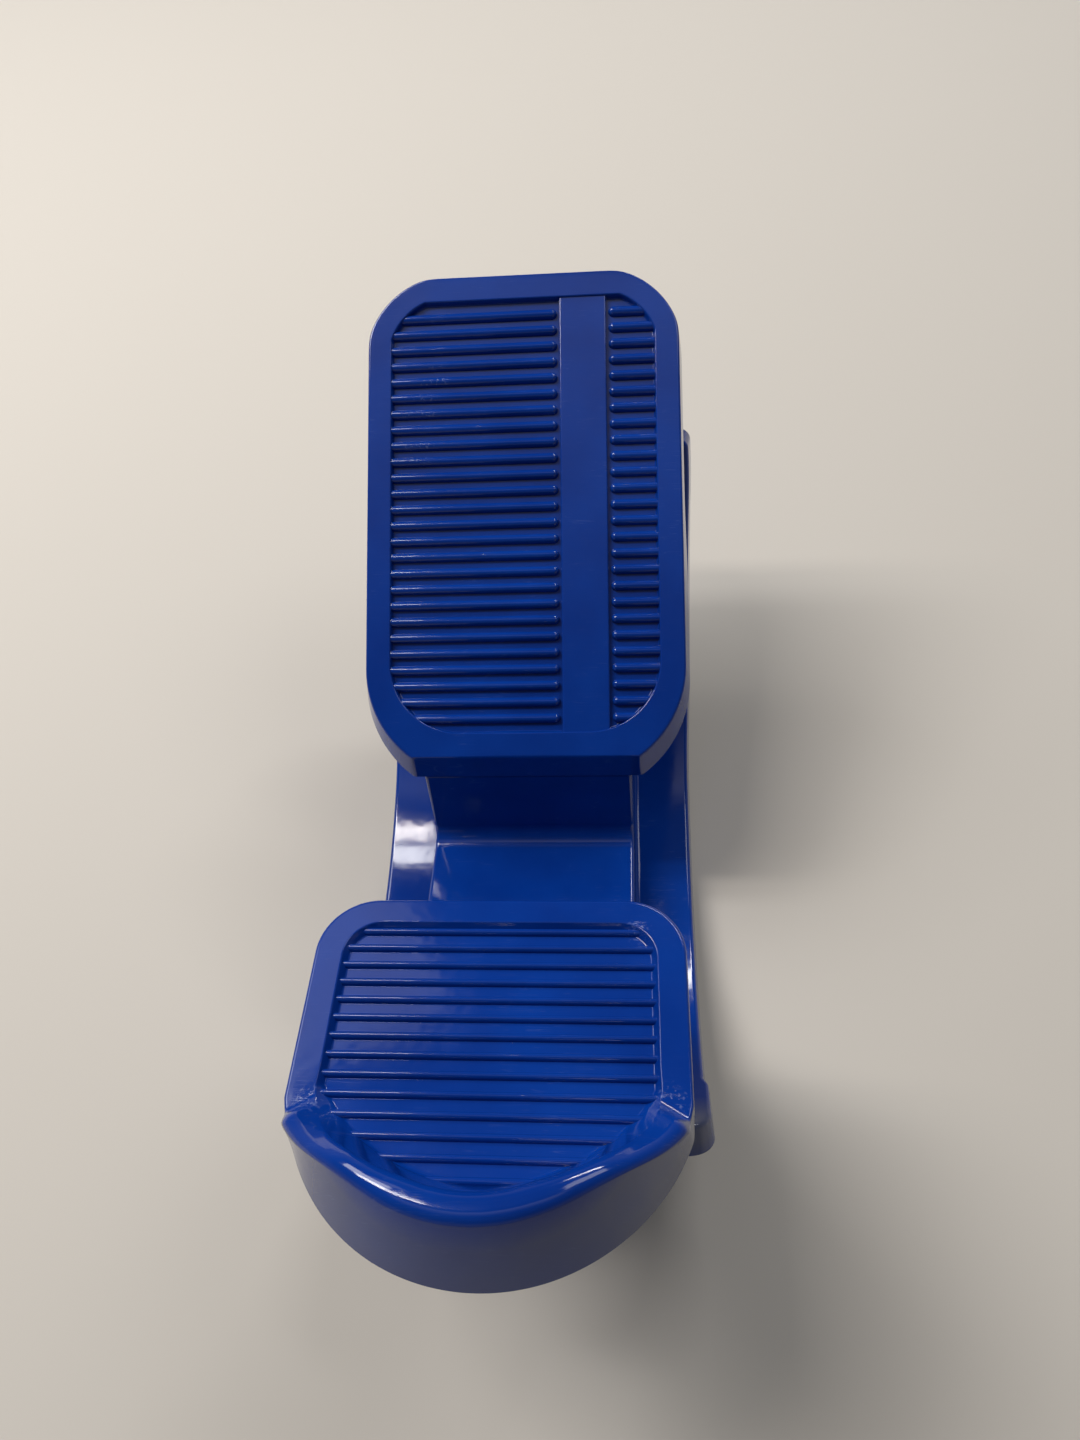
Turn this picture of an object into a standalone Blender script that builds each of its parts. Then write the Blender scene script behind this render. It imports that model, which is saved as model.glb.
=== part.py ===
"""Rocking calf stretcher: a hollow moulded rocker that carries a ribbed forefoot platform and a heel platform with a cup.

Frame: +Z up, +Y towards the toes, +X to the right of a foot that stands on it.
The origin lies on the floor, under the middle of the whole object.
It stands at rest, on the flat spot at the lowest point of the rubber tread.
"""

import math

import bmesh
import bpy
import numpy as np
from mathutils import Matrix

MM = 0.001
SEAT_GAP = 0.3 * MM

# Rocker sole: an arc about an axis that runs across the object
SOLE_RADIUS = 172 * MM
SOLE_AXIS_Y = -12.5 * MM
TREAD_PROUD = 1.3 * MM
SOLE_AXIS_Z = SOLE_RADIUS + TREAD_PROUD
SOLE_THICK = 12 * MM
SOLE_HALF_WIDTH = 66.7 * MM
SOLE_FLARE = 1.3 * MM
SOLE_REAR_DEG = -43.0
SOLE_FRONT_DEG = 69.0
FRONT_NARROWING = 3.5 * MM
FRONT_NARROW_FROM_DEG = 59.0
SOLE_STEP_DEG = 3.5
SOLE_CORNER = 9 * MM
END_WIDENING = 1.5 * MM
REAR_WIDE_DEG = -35.3
FRONT_WIDE_DEG = 55.0
WIDENING_DEG = 1.5
FLANGE_WALL = 3.0 * MM
SKIRT_WALL = 3.2 * MM
GUSSETS_EVERY_DEG = 11.0
GUSSET_THICK = 2.4 * MM
TOE_CELL_FROM_DEG = 2.6

# Sole plate and tread
PLATE_THICK = 2.2 * MM
TREAD_HALF_WIDTH = 53 * MM
TREAD_BASE = 0.9 * MM
TREAD_REAR_DEG = -36.0
TREAD_FRONT_DEG = 52.0
TREAD_RIDGES = 43
TREAD_RIDGE_SHARE = 0.6
TREAD_FLAT_HALF = 24 * MM

# Pedestal: the narrow hollow box between the sole and the two platforms
BOX_TOP_HALF_WIDTH = 40.3 * MM
BOX_DRAFT = 0.014
BOX_DRAFT_FROM_Z = 120 * MM
BOX_WALL = 3.1 * MM
VALLEY_FLOOR_Z = 32.6 * MM
VALLEY_FRONT_Y = -3.6 * MM
VALLEY_REAR_Y = -69.0 * MM
VALLEY_FILLET = 7 * MM
DECK_CORNER = 1.5 * MM
LEDGE_WIDTH = 3.4 * MM
LEDGE_GAP = 0.4 * MM
LEDGE_LEAN = 1.36
FOOT_COVE = 2.4 * MM
BOX_REAR_DEG = -37.5
BOX_FRONT_DEG = 48.0
WEB_Y = (-102 * MM, -48 * MM, -22 * MM, 55 * MM)
WEB_THICK = 3 * MM

# Forefoot platform, in its own plane: x across, y from its rear edge to its tip
FORE_PITCH_DEG = 27.4
FORE_REAR_Y = 6.5 * MM
FORE_REAR_Z = 82.6 * MM
FORE_LENGTH = 189.6 * MM
FORE_HALF_REAR = 61.9 * MM
FORE_HALF_FRONT = 61.0 * MM
FORE_REAR_ARC = (18.6 * MM, 35.0 * MM, 43.3 * MM)
FORE_FRONT_ARC = (29.0 * MM, 157.5 * MM, 33.4 * MM)
FORE_RECESS_REAR_ARC = (24.9 * MM, 36.9 * MM, 27.5 * MM)
FORE_RECESS_FRONT_ARC = (29.0 * MM, 157.5 * MM, 24.1 * MM)
FORE_RECESS_HALF = 51.8 * MM
FORE_RECESS_TIP = 179.7 * MM
FORE_SKIRT = 10.6 * MM
FORE_RIBS = 26
FORE_RIB_PITCH = 6.35 * MM
FORE_FIRST_RIB = 173.7 * MM
FORE_RIB_HALF = 1.95 * MM
FORE_RIB_HEIGHT = 2.3 * MM
FORE_DECK_TO = 125 * MM
FORE_THICK = 5.0 * MM
DECK_WINDOW_HALF = 27 * MM
DECK_WINDOWS = ((30 * MM, 46 * MM), (55 * MM, 99 * MM))
STRIP_LEFT = 12.7 * MM
STRIP_RIGHT = 31.8 * MM
STRIP_BELOW_RIM = 0.7 * MM
STRIP_GROOVE = 1.5 * MM

# Heel platform, in its own plane: x across, y = 0 at its front edge, negative towards the rear
HEEL_PITCH_DEG = -11.5
HEEL_FRONT_Y = -66.9 * MM
HEEL_FRONT_Z = 124.9 * MM
HEEL_HALF_WIDTH = 56.3 * MM
HEEL_FRONT_CORNER = 18 * MM
HEEL_ROUND_Y = -50.5 * MM
HEEL_ROUND_RADIUS = 57.8 * MM
HEEL_RECESS_HALF = 46.7 * MM
HEEL_RECESS_FRONT = -8.9 * MM
HEEL_RECESS_CORNER = 10.5 * MM
HEEL_RECESS_ROUND_Y = -31.0 * MM
HEEL_RECESS_ROUND = 54.4 * MM
HEEL_SKIRT = 12 * MM
HEEL_SKIRT_REAR = 7 * MM
HEEL_FLARE = 0.8 * MM
HEEL_FLARE_REAR = 2.4 * MM

# Heel cup: its wall follows the angle round the heel, counted from where the collar starts
CUP_START_DEG = 73.0
COLLAR_RISE = 7.5 * MM
COLLAR_OUTER_DEG = 5.0
COLLAR_INNER_DEG = 13.0
CUP_RISE = 11.0 * MM
CUP_RISE_DEG = 55.0
CROWN_OUT = 0.3 * MM
CROWN_LEAN = 9.3 * MM
CROWN_LEAN_DEG = 40.0
CROWN_RADIUS = 4.0 * MM
CROWN_INNER = 15.3 * MM
CUP_CORE_WALL = 3.0 * MM
CUP_CORE_ROOF = 6.5 * MM
CUP_CORE_DEG = 56.0
HEEL_RIBS = 14
HEEL_RIB_PITCH = 5.67 * MM
HEEL_FIRST_RIB = -10.2 * MM
HEEL_RIB_HALF = 1.15 * MM
HEEL_RIB_HEIGHT = 1.7 * MM
HEEL_DECK_FROM = -4.5 * MM
HEEL_DECK_TO = -72 * MM
HEEL_THICK = 6.5 * MM

# Both platforms
RIM_WIDTH = 9.3 * MM
RECESS_DEPTH = 2.7 * MM
FORE_FLARE = 1.6 * MM
PLATFORM_WALL = 2.5 * MM
RIB_OVERRUN = 2.0 * MM

# Fixings: a boss of the platform passes through the deck, and a washer-head screw clamps it from inside
BOSS_RADIUS = 4.5 * MM
BOSS_CLEARANCE = 0.3 * MM
BOSS_TIP = 0.2 * MM
PILOT_RADIUS = 2.0 * MM
PILOT_ROOF = 1.0 * MM
SHANK_RADIUS = 1.7 * MM
SHANK_LENGTH = 5.6 * MM
WASHER_RADIUS = 7.0 * MM
WASHER_THICK = 1.4 * MM
HEAD_RADIUS = 3.6 * MM
HEAD_HEIGHT = 2.4 * MM
SCREW_X = 25 * MM
FORE_SCREWS_Y = (20 * MM, 109 * MM)
HEEL_SCREWS_Y = (-15 * MM, -55 * MM)

MOULDED_BLUE = (0.006, 0.050, 0.330, 1.0)
TREAD_BLACK = (0.018, 0.018, 0.020, 1.0)
ZINC_GREY = (0.42, 0.42, 0.43, 1.0)


def clear_scene():
    for obj in list(bpy.data.objects):
        bpy.data.objects.remove(obj, do_unlink=True)


def new_collection(name, hidden=False):
    collection = bpy.data.collections.new(name)
    bpy.context.scene.collection.children.link(collection)
    collection.hide_render = hidden
    return collection


def add_object(name, mesh, collection):
    obj = bpy.data.objects.new(name, mesh)
    collection.objects.link(obj)
    return obj


def add_cutter(name, mesh, collection):
    obj = add_object(name, mesh, collection)
    obj.hide_render = True
    obj.display_type = "WIRE"
    return obj


def give_material(obj, name, colour, roughness, metallic=0.0):
    material = bpy.data.materials.new(name)
    material.use_nodes = True
    shader = material.node_tree.nodes["Principled BSDF"]
    shader.inputs["Base Color"].default_value = colour
    shader.inputs["Roughness"].default_value = roughness
    shader.inputs["Metallic"].default_value = metallic
    obj.data.materials.append(material)


def boolean(obj, name, other, operation):
    modifier = obj.modifiers.new(name, "BOOLEAN")
    modifier.operation = operation
    modifier.object = other
    modifier.solver = "EXACT"


def smooth_step(value):
    value = np.clip(value, 0.0, 1.0)
    return value * value * (3.0 - 2.0 * value)


def arc(centre_x, centre_y, radius, start_deg, end_deg, steps):
    """Points of an arc in a plane, both ends included."""
    angles = np.radians(np.linspace(start_deg, end_deg, steps + 1))
    return np.column_stack([centre_x + radius * np.cos(angles), centre_y + radius * np.sin(angles)])


def mesh_from_bmesh(bm, name):
    bmesh.ops.recalc_face_normals(bm, faces=bm.faces[:])
    mesh = bpy.data.meshes.new(name)
    bm.to_mesh(mesh)
    bm.free()
    return mesh


def add_loft(bm, rings):
    """A closed body through rings of the same number of points, with a flat face on its first and last ring."""
    verts = [[bm.verts.new(point) for point in ring] for ring in rings]
    count = len(verts[0])
    for low, high in zip(verts[:-1], verts[1:]):
        for i in range(count):
            j = (i + 1) % count
            bm.faces.new((low[i], low[j], high[j], high[i]))
    bm.faces.new(verts[0])
    bm.faces.new(verts[-1])


def loft(name, rings):
    bm = bmesh.new()
    add_loft(bm, rings)
    return mesh_from_bmesh(bm, name)


def shade_smooth(obj, sharp_deg=32):
    obj.data.shade_smooth()
    obj.data.set_sharp_from_angle(angle=math.radians(sharp_deg))


def fore_frame():
    """The forefoot platform's own axes in the object's frame."""
    turn = Matrix.Rotation(math.radians(FORE_PITCH_DEG), 4, "X")
    return Matrix.Translation((0, FORE_REAR_Y, FORE_REAR_Z)) @ turn


def heel_frame():
    """The heel platform's own axes in the object's frame."""
    turn = Matrix.Rotation(math.radians(HEEL_PITCH_DEG), 4, "X")
    return Matrix.Translation((0, HEEL_FRONT_Y, HEEL_FRONT_Z)) @ turn


def in_side_view(frame, along, above):
    """The (y, z) of a point of a platform's middle plane, from its distance along and above the platform."""
    point = frame @ Matrix.Translation((0, along, above))
    return point.translation.y, point.translation.z


# Platforms


def fore_outline(rear_arc, front_arc, rear_half, front_half, rear_y, tip_y):
    """A forefoot outline: an arc at each corner, which starts and ends where it reaches the straight edges."""
    x, y, radius = rear_arc
    start = -math.degrees(math.asin(min((y - rear_y) / radius, 1)))
    end = -math.degrees(math.acos(min((rear_half - x) / radius, 1)))
    rear = arc(x, y, radius, start, end, 9)
    x, y, radius = front_arc
    start = math.degrees(math.acos(min((front_half - x) / radius, 1)))
    end = math.degrees(math.asin(min((tip_y - y) / radius, 1)))
    right = np.vstack([rear, arc(x, y, radius, start, end, 9)])
    return np.vstack([right, right[::-1] * (-1, 1)])


def fore_outlines():
    """Outlines of the forefoot platform and of its recess, point for point."""
    outer = fore_outline(FORE_REAR_ARC, FORE_FRONT_ARC, FORE_HALF_REAR, FORE_HALF_FRONT, 0.0, FORE_LENGTH)
    x, y, radius = FORE_RECESS_REAR_ARC
    recess = fore_outline(
        FORE_RECESS_REAR_ARC, FORE_RECESS_FRONT_ARC, x + radius, FORE_RECESS_HALF, y - radius, FORE_RECESS_TIP
    )
    return outer, recess


def heel_outlines():
    """Outlines of the heel platform and of its recess, point for point: corners, straight sides, round rear."""
    meet = math.degrees(math.acos(HEEL_HALF_WIDTH / HEEL_ROUND_RADIUS))
    corner_x = HEEL_HALF_WIDTH - HEEL_FRONT_CORNER
    corner = arc(corner_x, -HEEL_FRONT_CORNER, HEEL_FRONT_CORNER, 90, 0, 7)
    side_end = HEEL_ROUND_Y - HEEL_ROUND_RADIUS * math.sin(math.radians(meet))
    side_y = np.linspace(-HEEL_FRONT_CORNER, side_end, 6)[1:-1]
    side = np.column_stack([np.full(4, HEEL_HALF_WIDTH), side_y])
    round_rear = arc(0, HEEL_ROUND_Y, HEEL_ROUND_RADIUS, -meet, -90, 20)
    outer = np.vstack([corner, side, round_rear])

    recess_corner_x = HEEL_RECESS_HALF - HEEL_RECESS_CORNER
    recess_corner_y = HEEL_RECESS_FRONT - HEEL_RECESS_CORNER
    recess_corner = arc(recess_corner_x, recess_corner_y, HEEL_RECESS_CORNER, 90, 0, 7)
    to_round = np.sqrt(HEEL_RECESS_ROUND**2 - (side_y - HEEL_RECESS_ROUND_Y) ** 2)
    recess_side = np.column_stack([np.minimum(to_round, HEEL_RECESS_HALF), side_y])
    last = math.degrees(math.asin((side_end - HEEL_RECESS_ROUND_Y) / HEEL_RECESS_ROUND))
    recess_rear = arc(0, HEEL_RECESS_ROUND_Y, HEEL_RECESS_ROUND, last, -90, 20)
    recess = np.vstack([recess_corner, recess_side, recess_rear])
    return tuple(np.vstack([half, half[-2::-1] * (-1, 1)]) for half in (outer, recess))


def outline_normals(outline):
    """Outward normals of an outline that turns clockwise: the chord between its neighbours, turned."""
    chord = np.roll(outline, -1, axis=0) - np.roll(outline, 1, axis=0)
    normals = np.column_stack([-chord[:, 1], chord[:, 0]])
    normals /= np.linalg.norm(normals, axis=1)[:, None]
    outward = (normals * (outline - outline.mean(axis=0))).sum() > 0
    return normals if outward else -normals


def platform_ring(outlines, grow, height, pull_deg=0):
    """A section of a platform. It grows outwards along the outline's normal and shrinks towards the recess.
    Below the top it slides along y, so that the skirt runs parallel to the vertical."""
    outer, recess = outlines
    grow = np.broadcast_to(grow, len(outer))[:, None]
    height = np.broadcast_to(height, len(outer))
    inward = recess - outer
    inward = inward / np.linalg.norm(inward, axis=1)[:, None]
    plan = outer + np.where(grow > 0, outline_normals(outer) * grow, -inward * grow)
    slide = height * math.tan(math.radians(pull_deg))
    return np.column_stack([plan[:, 0], plan[:, 1] + slide, height])


def fore_rings(outlines):
    """Sections of the forefoot platform, from its underside over the skirt and rim to the recess floor."""
    width = np.linalg.norm(outlines[1] - outlines[0], axis=1)
    steps = (
        (-5.0 * MM, -FORE_THICK, FORE_PITCH_DEG),
        (FORE_FLARE - PLATFORM_WALL, -FORE_SKIRT, FORE_PITCH_DEG),
        (FORE_FLARE, -FORE_SKIRT, FORE_PITCH_DEG),
        (0.2 * MM, -1.1 * MM, FORE_PITCH_DEG),
        (-0.2 * MM, -0.3 * MM, 0),
        (-1.0 * MM, 0.0, 0),
        (0.5 * MM - width, 0.0, 0),
        (-width, -0.5 * MM, 0),
        (-0.6 * MM - width, -RECESS_DEPTH, 0),
    )
    return [platform_ring(outlines, *step) for step in steps]


def round_the_cup(outline):
    """Angle along the cup from the collar's start, in degrees. It is far below zero in front of the cup."""
    angle = np.degrees(np.arctan2(np.abs(outline[:, 0]), HEEL_ROUND_Y - outline[:, 1]))
    return np.where(outline[:, 1] < HEEL_ROUND_Y, CUP_START_DEG - angle, -90.0)


def cup_rise(turn, collar_deg):
    """Height of the cup's rim: a steep step at the collar, then a sine ramp towards the rear."""
    ramp = np.sin(np.clip((turn - 2) / CUP_RISE_DEG, 0, 1) * math.pi / 2)
    return COLLAR_RISE * smooth_step(turn / collar_deg) + CUP_RISE * ramp**1.2


def rounded(before, corner, after, radius, steps):
    """Arcs that round a corner of a profile, for all stations at once, as a list of (grow, height) arrays."""
    before = before - corner
    after = after - corner
    room = np.minimum(np.linalg.norm(before, axis=1), np.linalg.norm(after, axis=1))
    before = before / np.linalg.norm(before, axis=1)[:, None]
    after = after / np.linalg.norm(after, axis=1)[:, None]
    half = np.arccos((before * after).sum(axis=1)) / 2
    reach = np.minimum(radius / np.tan(half), room * 0.49)[:, None]
    radius = reach * np.tan(half)[:, None]
    middle = before + after
    centre = corner + middle / np.linalg.norm(middle, axis=1)[:, None] * radius / np.sin(half)[:, None]
    first = corner + before * reach - centre
    last = corner + after * reach - centre
    sweep = (math.pi - 2 * half)[:, None]
    shares = np.linspace(0, 1, steps)
    return [centre + (np.sin((1 - t) * sweep) * first + np.sin(t * sweep) * last) / np.sin(sweep) for t in shares]


def cup_corners(outlines):
    """Corners of the heel platform's profile at each station: skirt, rim's outer and inner edges, recess floor."""
    outer, recess = outlines
    width = np.linalg.norm(recess - outer, axis=1)
    turn = round_the_cup(outer)
    lean = np.sin(np.clip((turn - 4) / CROWN_LEAN_DEG, 0, 1) * math.pi / 2)
    back = smooth_step((turn - 2) / CUP_RISE_DEG)
    collar = smooth_step(turn / COLLAR_OUTER_DEG)
    skirt = HEEL_SKIRT + (HEEL_SKIRT_REAR - HEEL_SKIRT) * smooth_step(turn / 50)
    flare = HEEL_FLARE + (HEEL_FLARE_REAR - HEEL_FLARE) * smooth_step((turn + 4) / 8)
    crown_in = np.maximum(-RIM_WIDTH - (CROWN_INNER - RIM_WIDTH) * back, MM - width)
    corners = {
        "skirt": (flare, -skirt),
        "crown_out": (CROWN_OUT * collar - CROWN_LEAN * lean, cup_rise(turn, COLLAR_OUTER_DEG)),
        "crown_in": (crown_in, cup_rise(turn, COLLAR_INNER_DEG)),
        "floor": (-0.6 * MM - width, np.full(len(outer), -RECESS_DEPTH)),
    }
    return {name: np.column_stack(corner) for name, corner in corners.items()}, collar, back


def heel_rings(outlines):
    """Sections of the heel platform: a flat rim at the front that turns into the cup's rounded wall."""
    corners, collar, back = cup_corners(outlines)
    skirt = corners["skirt"]
    crown_out = corners["crown_out"]
    crown_in = corners["crown_in"]
    floor = corners["floor"]
    outer_ease = 1.1 * MM + (CROWN_RADIUS - 1.1 * MM) * collar
    inner_ease = 0.6 * MM + (CROWN_RADIUS - 0.6 * MM) * collar
    profile = rounded(skirt, crown_out, crown_in, outer_ease, 4) + rounded(crown_out, crown_in, floor, inner_ease, 4)
    rings = [
        platform_ring(outlines, -5.0 * MM, -HEEL_THICK, HEEL_PITCH_DEG),
        platform_ring(outlines, skirt[:, 0] - PLATFORM_WALL, skirt[:, 1], HEEL_PITCH_DEG),
        platform_ring(outlines, skirt[:, 0], skirt[:, 1], HEEL_PITCH_DEG),
    ]
    rings += [platform_ring(outlines, step[:, 0], step[:, 1]) for step in profile]
    rings.append(platform_ring(outlines, floor[:, 0], floor[:, 1]))
    return rings


def cup_core(outlines):
    """The hollow under the cup's wall, open at the bottom, so that the moulding keeps an even thickness."""
    corners, _, _ = cup_corners(outlines)
    outer = outlines[0]
    angle = np.degrees(np.arctan2(np.abs(outer[:, 0]), HEEL_ROUND_Y - outer[:, 1]))
    stations = np.flatnonzero((angle < CUP_CORE_DEG) & (outer[:, 1] < HEEL_ROUND_Y))
    skirt = corners["skirt"]
    crown_out = corners["crown_out"]
    crown_in = corners["crown_in"]
    floor = corners["floor"]
    roof = crown_in[:, 1] - CUP_CORE_ROOF
    out_share = (crown_out[:, 1] - roof) / (crown_out[:, 1] - skirt[:, 1])
    in_share = (crown_in[:, 1] - roof) / (crown_in[:, 1] - floor[:, 1])
    roof_out = crown_out[:, 0] + (skirt[:, 0] - crown_out[:, 0]) * out_share - CUP_CORE_WALL
    roof_in = crown_in[:, 0] + (floor[:, 0] - crown_in[:, 0]) * in_share + CUP_CORE_WALL
    bottom = skirt[:, 1] - MM
    sections = (
        platform_ring(outlines, skirt[:, 0] - CUP_CORE_WALL - 0.3 * MM, bottom),
        platform_ring(outlines, floor[:, 0] + CUP_CORE_WALL, bottom),
        platform_ring(outlines, roof_in, roof),
        platform_ring(outlines, roof_out, roof),
    )
    return loft("cup_core", [[section[i] for section in sections] for i in stations])


def add_bead(bm, y, half, height, floor_z, start, end, round_start=False, round_end=False):
    """A half-round rib along x. A rounded end shrinks to nothing like a quarter of a ball."""
    profile = arc(0, 0, 1, 0, 180, 6)
    foot = 0.5 * MM
    stations = [(start, 1.0), (end, 1.0)]
    turns = np.radians((18, 42, 66))
    if round_start:
        stations = [(start + half * (1 - math.cos(t)), max(math.sin(t), 0.3)) for t in turns] + [(start + half, 1.0)] + stations[1:]
    if round_end:
        stations = stations[:-1] + [(end - half, 1.0)]
        stations += [(end - half * (1 - math.cos(t)), max(math.sin(t), 0.3)) for t in turns[::-1]]
    rings = []
    for x, size in stations:
        across = y + profile[:, 0] * half * size
        up = floor_z + profile[:, 1] * height * size
        points = [(x, across[0], floor_z - foot)]
        points += [(x, a, u) for a, u in zip(across, up)]
        points.append((x, across[-1], floor_z - foot))
        rings.append(points)
    add_loft(bm, rings)


def recess_half_width(outline, y):
    """Half the width of a platform's recess at a distance along it."""
    right = outline[outline[:, 0] >= 0]
    order = np.argsort(right[:, 1])
    return float(np.interp(y, right[order, 1], right[order, 0]))


def fore_ribs(recess):
    """Ribs across the forefoot recess, broken by a bare raised strip to the right of the middle."""
    bm = bmesh.new()
    for i in range(FORE_RIBS):
        y = FORE_FIRST_RIB - i * FORE_RIB_PITCH
        reach = recess_half_width(recess, y) + RIB_OVERRUN
        shape = (y, FORE_RIB_HALF, FORE_RIB_HEIGHT, -RECESS_DEPTH)
        add_bead(bm, *shape, -reach, STRIP_LEFT - STRIP_GROOVE, round_end=True)
        add_bead(bm, *shape, STRIP_RIGHT + STRIP_GROOVE, reach, round_start=True)
    return mesh_from_bmesh(bm, "forefoot_ribs")


def bare_strip():
    """The raised strip along the forefoot recess, which carries nothing."""
    edge = 0.5 * MM
    top = -STRIP_BELOW_RIM
    rings = []
    for inset, height in ((0, -RECESS_DEPTH - edge), (0, top - edge), (edge, top)):
        low_y = RIM_WIDTH - RIB_OVERRUN
        high_y = FORE_LENGTH - RIM_WIDTH + RIB_OVERRUN
        left = STRIP_LEFT + inset
        right = STRIP_RIGHT - inset
        rings.append([(left, low_y, height), (right, low_y, height), (right, high_y, height), (left, high_y, height)])
    return loft("forefoot_strip", rings)


def heel_ribs(recess):
    """Narrow ribs across the heel recess. Their ends run into the recess wall and the cup."""
    bm = bmesh.new()
    for i in range(HEEL_RIBS):
        y = HEEL_FIRST_RIB - i * HEEL_RIB_PITCH
        reach = recess_half_width(recess, y) + RIB_OVERRUN
        add_bead(bm, y, HEEL_RIB_HALF, HEEL_RIB_HEIGHT, -RECESS_DEPTH, -reach, reach)
    return mesh_from_bmesh(bm, "heel_ribs")


def cylinders(name, centres, radius, low, high, segments=20):
    """Upright cylinders of one radius, as one mesh."""
    bm = bmesh.new()
    for x, y in centres:
        at = Matrix.Translation((x, y, (low + high) / 2))
        bmesh.ops.create_cone(
            bm, cap_ends=True, segments=segments, radius1=radius, radius2=radius, depth=high - low, matrix=at
        )
    return mesh_from_bmesh(bm, name)


def screw_places(rows):
    return [(side * SCREW_X, y) for y in rows for side in (-1, 1)]


def make_platform(name, rings, extras, cores, rows, thick, frame, parts, cutters):
    """A platform: its lofted shell, with ribs and bosses joined on and a pilot hole in each boss."""
    platform = add_object(name, loft(name, rings), parts)
    boss_low = -(thick + SEAT_GAP + BOX_WALL - BOSS_TIP)
    bosses = cylinders(name + "_bosses", screw_places(rows), BOSS_RADIUS, boss_low, -thick + 1.2 * MM)
    pilots = cylinders(name + "_pilots", screw_places(rows), PILOT_RADIUS, boss_low - MM, boss_low + SHANK_LENGTH + PILOT_ROOF, 12)
    for mesh in [*extras, bosses]:
        boolean(platform, mesh.name, add_cutter(mesh.name, mesh, cutters), "UNION")
    for mesh in [*cores, pilots]:
        boolean(platform, mesh.name, add_cutter(mesh.name, mesh, cutters), "DIFFERENCE")
    for obj in [platform, *(modifier.object for modifier in platform.modifiers)]:
        obj.matrix_world = frame
    give_material(platform, name, MOULDED_BLUE, 0.22)
    shade_smooth(platform)
    return platform


# Rocker frame


def fillet(points, radii, steps=5):
    """A polygon's corners replaced by arcs of the given radii, in order. A radius of zero keeps the corner."""
    points = np.asarray(points)
    rounded = []
    for i, radius in enumerate(radii):
        corner = points[i]
        if radius == 0:
            rounded.append(corner)
            continue
        before = points[i - 1] - corner
        after = points[(i + 1) % len(points)] - corner
        before = before / np.linalg.norm(before)
        after = after / np.linalg.norm(after)
        half = math.acos(np.clip(before @ after, -1, 1)) / 2
        middle = (before + after) / np.linalg.norm(before + after)
        centre = corner + middle * radius / math.sin(half)
        first = corner + before * radius / math.tan(half) - centre
        last = corner + after * radius / math.tan(half) - centre
        turn = math.atan2(first[0] * last[1] - first[1] * last[0], first @ last)
        for share in np.linspace(0, 1, steps + 1):
            c = math.cos(turn * share)
            s = math.sin(turn * share)
            rounded.append(centre + (first[0] * c - first[1] * s, first[0] * s + first[1] * c))
    return np.array(rounded)


def inset_corners(points, distance):
    """The corners of a polygon whose sides are all moved inwards. The polygon runs clockwise."""
    points = np.asarray(points)
    moved = []
    for i in range(len(points)):
        normals = []
        for a, b in ((points[i - 1], points[i]), (points[i], points[(i + 1) % len(points)])):
            side = (b - a) / np.linalg.norm(b - a)
            normals.append((side[1], -side[0]))
        offset = np.linalg.solve(np.array(normals), (distance, distance))
        moved.append(points[i] + offset)
    return np.array(moved)


def on_sole(radius, angle_deg):
    """The (y, z) of a point of the sole's arc. Zero degrees is straight down, and positive is towards the toes."""
    angle = math.radians(angle_deg)
    return SOLE_AXIS_Y + radius * math.sin(angle), SOLE_AXIS_Z - radius * math.cos(angle)


def pedestal_corners():
    """Side view of the pedestal, clockwise from the rear: heel deck, valley, ledge under the skirt, forefoot deck."""
    fore = fore_frame()
    heel = heel_frame()
    fore_deck = -(FORE_THICK + SEAT_GAP)
    heel_deck = -(HEEL_THICK + SEAT_GAP)
    floor_rise = (VALLEY_REAR_Y - VALLEY_FRONT_Y) * math.tan(math.radians(HEEL_PITCH_DEG))
    skirt_y = -FORE_FLARE - FORE_SKIRT * math.tan(math.radians(FORE_PITCH_DEG))
    ledge = -(FORE_SKIRT + LEDGE_GAP)
    wall_top = in_side_view(fore, skirt_y, ledge)
    ledge_end = in_side_view(fore, skirt_y + LEDGE_WIDTH, ledge)
    return [
        in_side_view(heel, HEEL_DECK_TO, heel_deck),
        in_side_view(heel, HEEL_DECK_FROM, heel_deck),
        (VALLEY_REAR_Y, VALLEY_FLOOR_Z + floor_rise),
        (VALLEY_FRONT_Y, VALLEY_FLOOR_Z),
        wall_top,
        ledge_end,
        in_side_view(fore, skirt_y + LEDGE_WIDTH + (fore_deck - ledge) * LEDGE_LEAN, fore_deck),
        in_side_view(fore, FORE_DECK_TO, fore_deck),
    ]


def pedestal_outline(inset, foot_radius):
    """The pedestal's side view with its foot on an arc about the sole's axis."""
    front_deg = BOX_FRONT_DEG - math.degrees(inset / SOLE_RADIUS)
    rear_deg = BOX_REAR_DEG + math.degrees(inset / SOLE_RADIUS)
    middle = SOLE_RADIUS - SOLE_THICK
    ends = [on_sole(middle, BOX_FRONT_DEG), on_sole(middle, BOX_REAR_DEG)]
    corners = inset_corners(pedestal_corners() + ends, inset)[:8]
    valley = VALLEY_FILLET + inset
    radii = [DECK_CORNER, DECK_CORNER, valley, valley, 0, 0, DECK_CORNER, DECK_CORNER]
    foot = [on_sole(foot_radius, deg) for deg in np.linspace(front_deg, rear_deg, 25)]
    return fillet([*corners, *foot], radii + [0] * len(foot))


def pedestal_half_width(z, inset):
    """The side walls lean in towards the top, so that the moulding leaves its mould."""
    return BOX_TOP_HALF_WIDTH + (BOX_DRAFT_FROM_Z - z) * BOX_DRAFT - inset


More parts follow.
